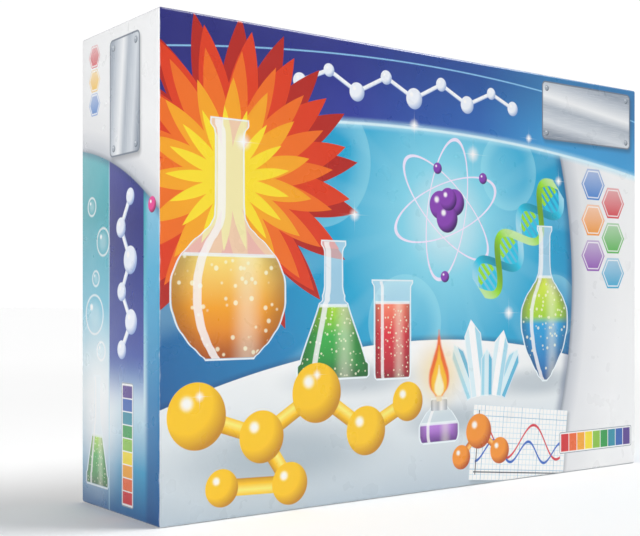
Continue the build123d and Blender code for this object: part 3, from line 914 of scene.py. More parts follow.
def colour_scale(page, u, v, chips, wide, high, turn=0.0):
    """Row of colour chips in a white frame."""
    spot = Spot(page, u, v, turn)
    length = wide * len(chips)
    page.ink(inside(page, spot.slab(length + FRAME, high + FRAME, FRAME / 2)), WHITE)
    edge = spot.slab(length + FRAME, high + FRAME, FRAME / 2) - 0.3
    page.ink(inside(page, 0.3 - edge.size()), hue("7C8A99"))
    stops = [(place / len(chips), chip) for place, chip in enumerate(chips)]
    tint = page.ramp(page.along(spot.u, -length / 2, length / 2), stops, steps=True)
    page.ink(inside(page, spot.slab(length, high, 0.2)), tint)
    seam = 0.35 - page.maths("PINGPONG", spot.u + length / 2, wide / 2)
    page.ink(inside(page, seam.least(spot.slab(length, high, 0.2))), WHITE)


print("chips", len(SCALE_CHIPS))

# %% [markdown]
# ### Burst and honeycomb
# The burst is five stars, each with its own number of points so that their tips don't line up.
# The hexagons shade from their own colour to a pale one.


# %% Burst, honeycomb, and what stands at a place
BURST = (  # points, valley, peak, turn, ink
    (19, 66, 104, 0.3, "B71E12"), (17, 60, 96, 0.0, "E23B12"), (19, 48, 82, 0.4, "F4701A"),
    (15, 34, 64, 0.1, "FBA81C"), (17, 20, 46, 0.3, "FFE22B"),
)


def burst(page, u, v):
    """Spiky burst in five flat colours."""
    for points, valley, peak, turned, code in BURST:
        page.ink(inside(page, star(Spot(page, u, v, 6), points, valley, peak, turned)), hue(code))


def honeycomb(page, cells, reach):
    """Coloured hexagons with a white line inside their edges."""
    for u, v, code in cells:
        cell = Spot(page, u, v)
        face = hexagon(cell, reach)
        rim, plain = hue(code), tuple(0.45 + 0.55 * part for part in hue(code))
        tint = page.ramp(page.along(cell.v, -1.1 * reach, 1.1 * reach), [(0.0, rim), (1.0, plain)])
        page.ink(inside(page, face), tint)
        page.ink(inside(page, 0.5 - (face - 0.15 * reach).size(), strength=0.8), WHITE)


def glints(page, places):
    """Sparkles of several sizes."""
    for u, v, reach in places:
        glint(page, u, v, reach)


def stood(page, u, v, *details, **more):
    """Vessel that stands at a place."""
    vessel(page, Spot(page, u, v), *details, **more)


def tilted_helix(page, u, v, turn, *details):
    """Helix at a place, turned."""
    helix(page, Spot(page, u, v, turn), *details)


print("the burst reaches", BURST[0][2], "mm")

# %% [markdown]
# ### The front, laid out
# The order is the printer's order: what lies behind is inked first. The burst and the big flask
# fill the left, the glassware stands on the table, and the yellow molecule lies before it all.
# Every place is in millimetres from the lower left corner of the front.


# %% Front print
def front_print(page):
    """Picture on the front, from back to front."""
    page.motif(backdrop)
    page.motif(white_column)
    page.motif(banner)
    page.motif(burst, 50, 214)
    page.motif(atom, 236, 204, 52, PURPLE_BALL, hue("F7E9FF"))
    page.motif(tilted_helix, 312, 186, 42, 118, 15, 62, hue("18C7E8"), hue("9BE22A"))
    page.motif(stood, 50, 100, 152, 43, ROUND_FLASK, 66, AMBER, bubbles=0.16)
    page.motif(stood, 132, 84, 94, 31, CONE_FLASK, 50, GREEN, bubbles=0.30)
    page.motif(stood, 184, 82, 70, 19, BEAKER, 54, RED, bubbles=0.34)
    page.motif(stood, 340, 74, 122, 27, PEAR_FLASK, 82, BLUE, bubbles=0.22)
    page.motif(crystals, 276, 66)
    page.motif(burner, 228, 34, 66)
    page.motif(graph_sheet, 312, 27, -6, 104, 56)
    balls = [(26, 66, 21), (74, 50, 17), (118, 76, 20), (160, 48, 17), (198, 66, 14), (96, 18, 14),
             (44, 20, 12)]
    page.motif(molecule, balls, [(0, 1), (1, 2), (2, 3), (3, 4), (1, 5), (5, 6)], 11, YELLOW_PLASTIC)
    page.motif(molecule, [(268, 40, 13), (290, 24, 10), (250, 22, 9)], [(0, 1), (0, 2)], 5, ORANGE_BALL)
    page.motif(silver_plate, 391, 287, 108, 46)
    cells = [(398, 232, "2E7FD0"), (423, 218, "D92B3C"), (398, 203, "F59A1F"), (423, 189, "4FB845"),
             (398, 174, "8E44B5"), (423, 160, "19A9D6")]
    page.motif(honeycomb, cells, 12.5)
    page.motif(colour_scale, 402, 24, SCALE_CHIPS, 9.6, 14)
    page.motif(glints, [(60, 238, 20), (262, 246, 22), (150, 196, 16), (356, 232, 14), (300, 128, 18),
                        (28, 78, 12), (118, 88, 12)])


print("the front is laid out on", [round(MM * size) for size in (HIGH.x - LOW.x, HIGH.z - LOW.z)], "mm")

# %% [markdown]
# ### The sides
# The left side repeats the front's parts in a narrow field: a white head with a plate, a dark
# blue band with a chain of white balls, turquoise behind it, and a brighter strip next to the
# front's edge, so that the two pictures meet in one colour. The right side is its mirror image.


# %% Side print
def bubbles(page, places):
    """Bubbles with a pale rim and a small light, from (u, v, radius)."""
    for u, v, radius in places:
        spot = Spot(page, u, v)
        page.ink(page.spread((spot.away() - radius).size(), 0, 1.3, 0.75, 0.0), WHITE)
        page.ink(page.spread(spot.away(), 0.2 * radius, radius, 0.3, 0.0), hue("E9FBFF"))
        disc(page, u - 0.35 * radius, v + 0.38 * radius, 0.16 * radius, WHITE, soft=0.8)


def side_room(page):
    """Turquoise, a dark blue band and a strip that meets the front, under a white head."""
    ground = page.ramp(
        page.along(page.v, 0, 315),
        [(0.0, hue("0A5F9E")), (0.10, hue("2E9CC8")), (0.24, hue("D4EAF2")), (0.42, hue("6FC3DC")),
         (0.62, hue("27A7B4")), (0.78, hue("5FBCC4"))],
    )
    page.ink(1.0, ground)
    glow = Spot(page, 26, 66, 0, (1, 1.5))
    page.ink(page.spread(glow.away(), 0, 50, 0.9, 0.0), WHITE)
    strip = page.ramp(
        page.along(page.v, 0, 260),
        [(0.0, hue("004E8C")), (0.3, hue("0B7FB8")), (0.6, hue("58B4DA")), (1.0, hue("BFE3F0"))],
    )
    page.ink(page.spread(page.u, 90, 97), strip)
    band = page.ramp(
        page.along(page.v, 70, 235),
        [(0.0, hue("3E6FC0")), (0.25, hue("26409E")), (0.7, hue("22277E")), (1.0, hue("3A3F9C"))],
    )
    fade = page.maths("MULTIPLY", page.spread(page.v, 62, 104),
                      inside(page, 24 - (page.u - 66).size(), soft=0.6))
    page.ink(fade, band)
    page.ink(inside(page, 0.5 - (page.u - 42).size(), strength=0.8), hue("BDE6F5"))
    head = Spot(page, -40, -8).away() - 250
    shade = page.ramp(
        page.along(head, 0, 40),
        [(0.0, hue("8D96A3")), (0.08, hue("CDD1D8")), (0.4, hue("EDEEF0")), (1.0, hue("F7F8F9"))],
    )
    page.ink(page.spread(head, -6, 0, 0.0, 0.5), hue("17306E"))
    page.ink(inside(page, head, soft=0.5), shade)


def side_print(page):
    """Picture on a narrow side, from back to front."""
    page.motif(side_room)
    page.motif(bubbles, [(20, 128, 13), (33, 176, 9), (16, 200, 6), (30, 104, 6), (22, 152, 5)])
    balls = [(60, 106, 6), (73, 124, 8), (60, 143, 6), (72, 163, 9), (59, 184, 6.5), (72, 203, 5.5)]
    page.motif(chain, balls, 4.2, (hue("8FA9DC"), hue("EEF4FF"), WHITE))
    page.motif(stood, 24, 14, 74, 17, CONE_FLASK, 34, GREEN, bubbles=0.4)
    page.motif(ball, 101, 196, 5, *PINK_BALL)
    page.motif(silver_plate, 64, 268, 76, 42, turn=90)
    page.motif(honeycomb, [(20, 300, "D92B3C"), (20, 284, "F9C51F"), (20, 268, "2E7FD0")], 7.4)
    page.motif(colour_scale, 68, 46, SCALE_CHIPS, 8.4, 13, turn=90)


print("a side is laid out on", [round(MM * size) for size in (HIGH.y - LOW.y, HIGH.z - LOW.z)], "mm")

# %% [markdown]
# ### Top and underside
# The top carries the banner's blue on, with slow waves in it, and ends in white with a plate. The
# underside has only a pale tint, for nobody looks there.


# %% Top and bottom print
def top_room(page):
    """Blue field with waves, and a white end for the plate."""
    body = page.ramp(
        page.along(page.u, 20, 400),
        [(0.0, hue("23287F")), (0.4, hue("2A49A6")), (0.8, hue("1E7DC4")), (1.0, hue("4DB6E0"))],
    )
    page.ink(1.0, body)
    for size, strength in ((13, 0.16), (26, 0.12)):
        wave = page.maths("SINE", page.u * (1 / size) + page.v * (0.4 / size)) * (size * 0.7)
        line = 1.0 - (page.v - wave - 55).size()
        page.ink(inside(page, line, soft=1.2, strength=4 * strength), hue("8FD6F2"))
    past = Spot(page, 250, 55, 0, (1, 1.6)).away() - 92
    right = page.spread(page.u, 299, 300)
    page.ink(page.maths("MULTIPLY", page.spread(past, -8, 0, 0.0, 0.5), right), hue("0A3F78"))
    white = page.ramp(
        page.along(past, 0, 40),
        [(0.0, hue("8D96A3")), (0.1, hue("D5D9DF")), (1.0, hue("F7F8F9"))],
    )
    page.ink(page.maths("MULTIPLY", inside(page, past, soft=0.5), right), white)


def top_print(page):
    """Picture on the top, from back to front."""
    page.motif(top_room)
    balls = [(70, 40, 8), (104, 66, 11), (142, 44, 8), (178, 68, 9), (216, 46, 12), (256, 66, 8),
             (292, 44, 9)]
    page.motif(chain, balls, 5, (hue("9FB6DE"), hue("F2F7FF"), WHITE))
    page.motif(silver_plate, 394, 55, 88, 44)
    page.motif(glints, [(104, 72, 16), (216, 54, 16), (40, 84, 12), (330, 90, 12)])


def bottom_print(page):
    """Pale tint on the underside."""
    tint = page.ramp(page.along(page.v, 0, 110), [(0.0, hue("DDE5EA")), (1.0, hue("F3F5F7"))])
    page.ink(1.0, tint)


print("the top is laid out on", [round(MM * size) for size in (HIGH.x - LOW.x, HIGH.y - LOW.y)], "mm")

# %% [markdown]
# ## Finishes
# Every material starts as a Principled shader. Numbers that are the same all over are set on its
# own sockets. What varies comes from noise on Object coordinates: it roughens the gloss, or it
# stands up as a bump whose height is given in metres, so that a bump is as deep as the real one.


# %% A finish to start from
def finish(name, colour=None, **sockets):
    """Material with its shader set. Names of sockets have underscores for spaces."""
    material = bpy.data.materials.new(name)
    material.use_nodes = True
    tree = material.node_tree
    shader = tree.nodes["Principled BSDF"]
    if colour is not None:
        shader.inputs["Base Color"].default_value = (*colour, 1)
    for socket, value in sockets.items():
        shader.inputs[socket.replace("_", " ")].default_value = value
    return material, tree, shader


def surface_noise(tree, scale, detail=2.0, stretch=(1, 1, 1)):
    """Noise over the piece, in metres."""
    place = tree.nodes.new("ShaderNodeTexCoord").outputs["Object"]
    mapping = tree.nodes.new("ShaderNodeMapping")
    mapping.inputs["Scale"].default_value = stretch
    tree.links.new(place, mapping.inputs["Vector"])
    noise = tree.nodes.new("ShaderNodeTexNoise")
    noise.inputs["Scale"].default_value = scale
    noise.inputs["Detail"].default_value = detail
    tree.links.new(mapping.outputs["Vector"], noise.inputs["Vector"])
    return noise.outputs["Fac"]


def stretched(tree, value, low, high, start, end):
    """A value stretched from one span to another."""
    spread = tree.nodes.new("ShaderNodeMapRange")
    for name, number in (("From Min", low), ("From Max", high), ("To Min", start), ("To Max", end)):
        spread.inputs[name].default_value = number
    tree.links.new(value, spread.inputs["Value"])
    return spread.outputs["Result"]


def roughen(tree, shader, value, low, high):
    """Roughness that follows a value between 0.3 and 0.7 of noise."""
    tree.links.new(stretched(tree, value, 0.3, 0.7, low, high), shader.inputs["Roughness"])


def emboss(tree, shader, value, depth):
    """Bump from a value, as deep as its distance in metres."""
    bump = tree.nodes.new("ShaderNodeBump")
    bump.inputs["Distance"].default_value = depth
    bump.inputs["Strength"].default_value = 1.0
    tree.links.new(value, bump.inputs["Height"])
    tree.links.new(bump.outputs["Normal"], shader.inputs["Normal"])


print("materials so far", len(bpy.data.materials))

# %% [markdown]
# ### Paper under film
# The wrap is paper printed and laminated with a clear film, so its shine is even and a little
# soft. The film follows the paper's fibres and the greyboard beneath, which a very low bump
# gives. Where the sheet goes round an edge the film is strained and rubbed, and the white paper
# begins to show. The same paler band along every edge is also a painted highlight, as where light
# catches a rounded edge.


# %% Printed wrap
# Paler band along the edges: rubbed film, and a painted highlight of light on the rounded edges.
WEAR_AND_HIGHLIGHT_IN = 2.4  # millimetres in from an edge where the film is whole


def printed(name, draw, mapping, wide, high):
    """Laminated print of a page, paler along its edges: rubbed film and a painted edge highlight."""
    material, tree, shader = finish(name, Coat_Weight=0.35, Coat_Roughness=0.14)
    at = tree.nodes.new("ShaderNodeMapping")
    tree.links.new(tree.nodes.new("ShaderNodeTexCoord").outputs["Object"], at.inputs["Vector"])
    for socket, value in mapping.items():
        at.inputs[socket].default_value = value
    parts = tree.nodes.new("ShaderNodeSeparateXYZ")
    tree.links.new(at.outputs["Vector"], parts.inputs["Vector"])
    page = Page(tree, parts.outputs["X"], parts.outputs["Y"], WHITE, mapping)
    draw(page)
    border = Spot(page, wide / 2, high / 2).slab(wide, high, 1.5)
    edge_noise = page.texture("ShaderNodeTexNoise", "Fac", Scale=0.09, Detail=5.0)
    # Painted edge highlight together with rubbed film: white laid over the print near every edge.
    wear_and_highlight = page.spread(border + edge_noise * 2.6, WEAR_AND_HIGHLIGHT_IN, WEAR_AND_HIGHLIGHT_IN / 2, 0.0, 0.55)
    page.ink(wear_and_highlight, WHITE)
    tree.links.new(page.colour, shader.inputs["Base Color"])
    roughen(tree, shader, surface_noise(tree, 60), 0.26, 0.36)
    emboss(tree, shader, surface_noise(tree, 420, detail=4), 0.00006)
    print(name, "has", len(tree.nodes), "nodes")
    return material


# The paler edge band is rubbed film and a painted edge highlight.
print("a print's edges are rubbed", WEAR_AND_HIGHLIGHT_IN, "mm in at most")

# %% [markdown]
# ### Five pages on the lid
# A Mapping node lays each page on its face: it scales metres to millimetres, turns the page
# upright or sideways, and moves its zero to the face's lower left corner.

# %% Five pages on the lid
SPAN = (HIGH - LOW) * MM
UPRIGHT, SIDEWAYS = radians(-90), radians(90)


def laid(location, rotation=(0, 0, 0)):
    """Mapping from the model's metres to a page's millimetres."""
    return {"Location": location, "Rotation": rotation, "Scale": (MM, MM, MM)}


print_front = printed("print_front", front_print, laid((SPAN.x / 2, 0, -SPAN.y / 2), (UPRIGHT, 0, 0)),
                      SPAN.x, SPAN.z)
print_left, print_right = (
    printed(name, side_print, laid((SPAN.y / 2, 0, side * SPAN.x / 2), (UPRIGHT, SIDEWAYS, 0)),
            SPAN.y, SPAN.z)
    for name, side in (("print_left", -1), ("print_right", 1)))
print_top = printed("print_top", top_print, laid((SPAN.x / 2, SPAN.y / 2, -SPAN.z)), SPAN.x, SPAN.y)
print_bottom = printed("print_bottom", bottom_print, laid((SPAN.x / 2, SPAN.y / 2, 0)), SPAN.x, SPAN.y)
print("pages", [face.name for face in (print_front, print_left, print_right, print_top, print_bottom)])

# %% [markdown]
# ### Plain paper and greyboard
# The base and the lining are plain paper, hardly cloudy. Greyboard is pressed waste paper, so its
# fibres show as fine streaks of grey and brown.


# %% Plain paper and greyboard
def plain_paper(name, colour):
    """Uncoated white paper with a faint cloudiness."""
    material, tree, shader = finish(name)
    ramp = tree.nodes.new("ShaderNodeValToRGB")
    ramp.color_ramp.elements[0].color = (*(0.93 * part for part in colour), 1)
    ramp.color_ramp.elements[1].color = (*colour, 1)
    tree.links.new(surface_noise(tree, 45, detail=6), ramp.inputs["Fac"])
    tree.links.new(ramp.outputs["Color"], shader.inputs["Base Color"])
    roughen(tree, shader, surface_noise(tree, 200), 0.55, 0.7)
    emboss(tree, shader, surface_noise(tree, 900, detail=5), 0.00008)
    return material


def greyboard_finish(name):
    """Pressed waste paper: grey brown, with darker and lighter fibres."""
    material, tree, shader = finish(name, Roughness=0.85)
    ramp = tree.nodes.new("ShaderNodeValToRGB")
    ramp.color_ramp.elements[0].position, ramp.color_ramp.elements[1].position = 0.30, 0.72
    ramp.color_ramp.elements[0].color = (*hue("7F776B"), 1)
    ramp.color_ramp.elements[1].color = (*hue("B9B1A2"), 1)
    tree.links.new(surface_noise(tree, 700, detail=8, stretch=(1, 1, 0.35)), ramp.inputs["Fac"])
    tree.links.new(ramp.outputs["Color"], shader.inputs["Base Color"])
    emboss(tree, shader, surface_noise(tree, 1500, detail=6), 0.00015)
    return material


plain_wrap = plain_paper("plain_wrap", hue("F3F4F3"))
greyboard = greyboard_finish("greyboard")
print("finishes", plain_wrap.name, greyboard.name)

# %% [markdown]
# ## Working by hand, in code
# By hand, a modeller selects a piece, enters edit mode, picks some faces and uses a tool on them.
# These helpers do the same. `pick` chooses by a test of place or direction in place of a mouse,
# and `place` gives a finished piece its body, its node and its finish.


# %% Working by hand, in code
def nothing_selected():
    """Leave edit mode and deselect every object."""
    if bpy.context.mode != "OBJECT":
        bpy.ops.object.mode_set(mode="OBJECT")
    bpy.ops.object.select_all(action="DESELECT")


def alone(piece):
    """Select one piece and make it active."""
    nothing_selected()
    piece.select_set(True)
    bpy.context.view_layer.objects.active = piece


def new_block(name, low, high):
    """Cube between two corners, alone and selected."""
    nothing_selected()
    low, high = Vector(low), Vector(high)
    bpy.ops.mesh.primitive_cube_add(size=1, location=(low + high) / 2, scale=high - low)
    bpy.ops.object.transform_apply(location=True, rotation=True, scale=True)
    piece = bpy.context.object
    piece.name = piece.data.name = name
    return piece


def edit(piece):
    """Enter edit mode on one piece."""
    alone(piece)
    bpy.ops.object.mode_set(mode="EDIT")


def pick(kind, test):
    """Select the vertices, edges or faces that pass a test, and nothing else."""
    bpy.ops.mesh.select_mode(type={"verts": "VERT", "edges": "EDGE", "faces": "FACE"}[kind])
    bpy.ops.mesh.select_all(action="DESELECT")
    mesh = bmesh.from_edit_mesh(bpy.context.object.data)
    mesh.normal_update()
    chosen = [element for element in getattr(mesh, kind) if test(element)]
    for element in chosen:
        element.select_set(True)
    mesh.select_flush_mode()
    bmesh.update_edit_mesh(bpy.context.object.data)
    return len(chosen)


def middle(element):
    """Centre of an edge or a face."""
    return sum((vertex.co for vertex in element.verts), Vector()) / len(element.verts)


def press(piece, kind, **settings):
    """Add a modifier and apply it."""
    alone(piece)
    modifier = piece.modifiers.new(kind.lower(), kind)
    for name, value in settings.items():
        setattr(modifier, name, value)
    bpy.ops.object.modifier_apply(modifier=modifier.name)


def smooth(piece, angle=35):
    """Soft shading, with edges sharper than an angle kept crisp."""
    alone(piece)
    bpy.ops.object.shade_smooth_by_angle(angle=radians(angle))


def place(piece, body, node, slot, *finishes):
    """Stand a finished piece in for its node, on its body and in its finish."""
    alone(piece)
    for material in finishes:
        piece.data.materials.append(material)
    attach(piece, body)
    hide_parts(node)
    print(piece.name, len(piece.data.polygons), "faces, on", body)


# %% [markdown]
# ## Lid and base
# Both are a tray of greyboard with paper wrapped round it and turned in over the rim. Each starts
# as a cube of the tray's size. Its open side is deleted, its edges are rounded with a bevel, and
# the rim's edges are extruded inwards and back, as the paper is folded. Solidify then gives the
# paper its thickness. The front panel sinks by a fraction of a millimetre towards its middle, as
# glued board does when it dries.


# %% Wrapped tray
BOARD, PAPER, TURN_IN = 0.002, 0.0003, 0.015  # metres
SINK = 0.0002  # how far a panel's middle sinks, in metres
PANEL_CUTS, CORNER_STEPS = 31, 6
TOUCH = 1e-5  # metres within which two places are the same


def wrapped_tray(name, node, open_way, radius):
    """Paper round a tray that is open towards +Y or -Y, folded in over the rim."""
    low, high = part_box(node)
    piece = new_block(name, low, high)
    edit(piece)
    pick("faces", lambda face: face.normal.y * open_way > 0.9)
    bpy.ops.mesh.delete(type="ONLY_FACE")
    pick("edges", lambda edge: not edge.is_boundary)
    bpy.ops.mesh.bevel(offset=radius, segments=CORNER_STEPS, profile=0.5, affect="EDGES")
    panel, rim = (low.y, high.y) if open_way > 0 else (high.y, low.y)
    pick("faces", lambda face: abs(middle(face).y - panel) < TOUCH and face.calc_area() > 0.01)
    bpy.ops.mesh.subdivide(number_cuts=PANEL_CUTS)
    heart = Vector(((low.x + high.x) / 2, panel, (low.z + high.z) / 2))
    pick("verts", lambda vertex: (vertex.co - heart).length < 1e-3)
    bpy.ops.transform.translate(
        value=(0, open_way * SINK, 0), use_proportional_edit=True,
        proportional_edit_falloff="SMOOTH", proportional_size=0.49 * (high.z - low.z),
    )
    pick("edges", lambda edge: edge.is_boundary)
    wall = BOARD + 2 * PAPER
    bpy.ops.mesh.extrude_region_move()
    shrink = [1 - 2 * wall / (high.x - low.x), 1, 1 - 2 * wall / (high.z - low.z)]
    bpy.ops.transform.resize(value=shrink, center_override=(low + high) / 2)
    bpy.ops.mesh.extrude_region_move(TRANSFORM_OT_translate={"value": (0, -open_way * TURN_IN, 0)})
    pick("edges", lambda edge: all(abs(vertex.co.y - rim) < TOUCH / 10 for vertex in edge.verts)
         and all(abs(face.normal.y) < 0.5 for face in edge.link_faces[:1]) != all(
             abs(face.normal.y) < 0.5 for face in edge.link_faces[1:]))
    bpy.ops.mesh.bevel(offset=1.2 * PAPER, segments=2, profile=0.5, affect="EDGES")
    bpy.ops.mesh.select_all(action="SELECT")
    bpy.ops.mesh.normals_make_consistent(inside=False)
    bpy.ops.object.mode_set(mode="OBJECT")
    return piece


print("paper", round(MM * PAPER, 2), "mm on board", round(MM * BOARD, 2), "mm")

# %% [markdown]
# ### Paper on board
# Each face of the lid gets the page of the way that it looks, and the rim and the lining stay
# plain. That is settled before Solidify, whose inner wall copies the outer one's finish. The two
# shells of greyboard under the paper have their right shape already, and get a finish only.


# %% Lid and base
WAYS = ((0, -1, 0), (-1, 0, 0), (1, 0, 0), (0, 0, 1), (0, 0, -1))  # front, left, right, top, bottom
FACES_A_WAY = 0.6  # least cosine between a face and its way


def ink_by_direction(piece, node):
    """Print on each outer face by the way it looks, plain paper on the rim and the lining."""
    low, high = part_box(node)
    for face in piece.data.polygons:
        outside = min(face.center.x - low.x, high.x - face.center.x, face.center.z - low.z,
                      high.z - face.center.z, face.center.y - low.y) < BOARD
        best = max(range(len(WAYS)), key=lambda way: face.normal.dot(Vector(WAYS[way])))
        facing = face.normal.dot(Vector(WAYS[best]))
        face.material_index = best if outside and facing > FACES_A_WAY else len(WAYS)


def new_finish(node, material):
    """Give a node that stays as it is another finish."""
    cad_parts[node].data.materials.clear()
    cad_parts[node].data.materials.append(material)


lid_paper = wrapped_tray("lid_wrap_paper", "lid_wrap", 1, 0.0022)
ink_by_direction(lid_paper, "lid_wrap")
base_paper = wrapped_tray("base_wrap_paper", "base_wrap", -1, 0.0015)
for paper in (lid_paper, base_paper):
    press(paper, "SOLIDIFY", thickness=PAPER, offset=-1)
    smooth(paper, 30)
place(lid_paper, "lid", "lid_wrap", "printed_wrap", print_front, print_left, print_right, print_top,
      print_bottom, plain_wrap)
place(base_paper, "base", "base_wrap", "plain_wrap", plain_wrap)
for node in ("lid_board", "base_board"):
    new_finish(node, greyboard)
    print(node, "is greyboard")

# Clear plastic is the same with the light going through. Part of it is let straight through by
# alpha, because light that has to bend through four thin walls would leave the tray behind them
# too dark.


# %% Plastics
def moulded(name, colour, low=0.24, high=0.40, peel=0.00003, **sockets):
    """Moulded plastic with flow marks in its gloss."""
    material, tree, shader = finish(name, colour, **sockets)
    roughen(tree, shader, surface_noise(tree, 90, detail=3), low, high)
    emboss(tree, shader, surface_noise(tree, 650), peel)
    return material


clear = moulded("clear_plastic", hue("F4FBFD"), 0.02, 0.07, 0.000002, Transmission_Weight=1.0, IOR=1.49,
                Alpha=0.42)
milky = moulded("jar_plastic", hue("F3F4F1"), 0.22, 0.34, 0.000004, Transmission_Weight=0.72, IOR=1.5)
formed = moulded("formed_sheet", hue("EEF1F3"), 0.28, 0.42, 0.00002)
rack_yellow = moulded("rack_plastic", hue("F8C300"), 0.24, 0.38, Subsurface_Weight=0.08,
                      Subsurface_Scale=0.003)
magenta = moulded("funnel_plastic", hue("E0358F"), 0.22, 0.36)
white_plastic = moulded("spoon_plastic", hue("F4F6F6"), 0.25, 0.40)
cap_colours = [moulded(f"cap_{name}", hue(code), 0.26, 0.42) for name, code in (
    ("red", "D01F28"), ("green", "2A9A4A"), ("blue", "1B62BE"))]
print("plastics", [plastic.name for plastic in (clear, milky, formed, rack_yellow, magenta, white_plastic)])

# %% [markdown]
# ### Rubber, powder and ink
# Rubber is dull and picks up dust, which a fine noise between two near colours gives. Powder is
# the same with coarser grains that stand up. The ink of a scale is one dark blue.


# %% Rubber, powder and ink
def speckled(name, dark, light, scale, depth, rough=0.95):
    """Dull finish of grains or dust between two colours."""
    material, tree, shader = finish(name, Roughness=rough)
    ramp = tree.nodes.new("ShaderNodeValToRGB")
    ramp.color_ramp.elements[0].position, ramp.color_ramp.elements[1].position = 0.32, 0.70
    ramp.color_ramp.elements[0].color = (*dark, 1)
    ramp.color_ramp.elements[1].color = (*light, 1)
    tree.links.new(surface_noise(tree, scale, detail=6), ramp.inputs["Fac"])
    tree.links.new(ramp.outputs["Color"], shader.inputs["Base Color"])
    emboss(tree, shader, surface_noise(tree, scale, detail=6), depth)
    return material


orange_rubber = speckled("bulb_rubber", hue("E0530F"), hue("EB641B"), 420, 0.00003, rough=0.6)
powders = [speckled(f"powder_{name}", hue(dark), hue(light), 1400, 0.0004) for name, dark, light in (
    ("red", "9C1B22", "DE5A50"), ("green", "1C7A3C", "6CC27A"), ("blue", "1C4FA8", "6FA4E0"))]
scale_ink = finish("scale_ink", hue("1D2A44"), Roughness=0.5)[0]
print("powders", [powder.name for powder in powders])

# %% [markdown]
# ## Turned pieces
# Tubes, dishes, jars, caps and the funnel all have an axis. Each is drawn as half an outline, in
# millimetres of radius and height: a plane is merged to one vertex, the vertex is extruded from
# point to point, and the line is spun round the axis. Lips and corners are short arcs, as a
# polished mould leaves them.


# %% Lathe
UP, OUT, BACK = Vector((0, 0, 1)), Vector((0, -1, 0)), Vector((0, 1, 0))


def bend(radius, height, reach, start, end, steps=4):
    """Points of an arc about a radius and a height, from one angle to another."""
    turns = [radians(start + (end - start) * step / steps) for step in range(steps + 1)]
    return [(radius + reach * cos(turn), height + reach * sin(turn)) for turn in turns]


def lathe(name, outline, foot, up, steps=56):
    """Turn an outline about an axis that stands on a foot."""
    spots = [Vector(foot) + (Vector((1, 0, 0)) * radius + up * height) / MM for radius, height in outline]
    nothing_selected()
    bpy.ops.mesh.primitive_plane_add(size=0.01)
    piece = bpy.context.object
    piece.name = piece.data.name = name
    bpy.ops.object.mode_set(mode="EDIT")
    bpy.ops.mesh.select_mode(type="VERT")
    bpy.ops.mesh.select_all(action="SELECT")
    bpy.ops.mesh.merge(type="CENTER")
    bpy.ops.transform.translate(value=spots[0])
    for before, after in zip(spots, spots[1:]):
        bpy.ops.mesh.extrude_region_move(TRANSFORM_OT_translate={"value": after - before})
    bpy.ops.mesh.select_all(action="SELECT")
    bpy.ops.mesh.spin(steps=steps, angle=2 * pi, center=foot, axis=up)
    bpy.ops.mesh.select_all(action="SELECT")
    bpy.ops.mesh.remove_doubles(threshold=2e-6)
    bpy.ops.mesh.normals_make_consistent(inside=False)
    bpy.ops.object.mode_set(mode="OBJECT")
    smooth(piece, 40)
    return piece


def heart(node, way):
    """Middle of a node's box, at the end that an axis starts from."""
    low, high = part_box(node)
    centre = (low + high) / 2
    start = [low[axis] if way[axis] > 0 else high[axis] for axis in range(3)]
    return Vector([start[axis] if way[axis] else centre[axis] for axis in range(3)])


print("a quarter round of 1 mm:", [(round(u, 2), round(v, 2)) for u, v in bend(0, 0, 1, 0, 90, 2)])

# %% [markdown]
# ### Test tubes
# A tube's outline starts at the middle of its round end, goes up the outside, over a rolled lip
# and down the inside, so one line makes a wall with a thickness.

# %% Test tubes
TUBE = [*bend(0, 8, 8, -90, 0, 10), *bend(8.0, 149.0, 1.0, -90, 90, 7), *bend(7.5, 149.5, 0.5, 90, 180, 3),
        *bend(0, 8, 7, 0, -90, 9)]
for number in (1, 2, 3, 4):
    node = f"test_tube_{number}"
    tube = lathe(f"{node}_clear", TUBE, heart(node, UP), UP, 40)
    place(tube, f"tube_{number}", node, "clear_plastic", clear)
print("a tube's outline has", len(TUBE), "points")

# %% [markdown]
# ### Measuring cylinder
# The barrel has a flat floor and widens at the top to a lip that drops don't run down from.

# %% Measuring cylinder
BARREL = [(0, 0), *bend(12.4, 0.6, 0.6, -90, 0), (13, 153), (13.3, 154.8), (14.1, 156.2),
          *bend(14.3, 157.3, 0.7, -30, 90), (13.9, 157.8), (13.0, 156.4), (12.1, 155), (11.7, 153),
          *bend(11.1, 1.9, 0.6, 0, -90), (0, 1.3)]
barrel = lathe("measuring_cylinder_clear", BARREL, heart("measuring_cylinder", UP), UP)
place(barrel, "cylinder", "measuring_cylinder", "clear_plastic", clear)
print("the barrel's outline has", len(BARREL), "points")

# %% [markdown]
# ### Dropper
# Two pieces: a clear pipe drawn out to a fine tip, and a soft bulb pushed over its upper end. The
# bulb's neck has a beaded rim, and its shoulder is a gentle double curve.

# %% Dropper
PIPE = [(0.7, 0), (1.2, 0), *bend(1.2, 0.2, 0.2, -60, 0, 2), (1.5, 2.2), (3.25, 10.6), (3.46, 11.8),
        (3.5, 13), (3.5, 95.7), *bend(3.0, 95.5, 0.5, 10, 170), (2.5, 95.3), (2.5, 13), (2.3, 11.6),
        (0.75, 3), (0.7, 0)]
pipe = lathe("dropper_barrel_clear", PIPE, heart("dropper_barrel", UP), UP, 32)
place(pipe, "dropper", "dropper_barrel", "clear_plastic", clear)
BULB = [*bend(0, 26.5, 7.9, 90, 0, 6), (7.9, 15.4), (3.55, 13.6), (3.55, 0.3),
        *bend(3.85, 0.3, 0.3, 180, 270, 2), *bend(4.65, 0.5, 0.5, -90, 0, 3), (5.15, 6.6), (5.3, 7.8),
        (5.9, 9.2), (7.2, 11), (8.5, 12.9), (9.25, 14.8), (9.5, 17), *bend(0, 26.5, 9.5, 0, 90, 10)]
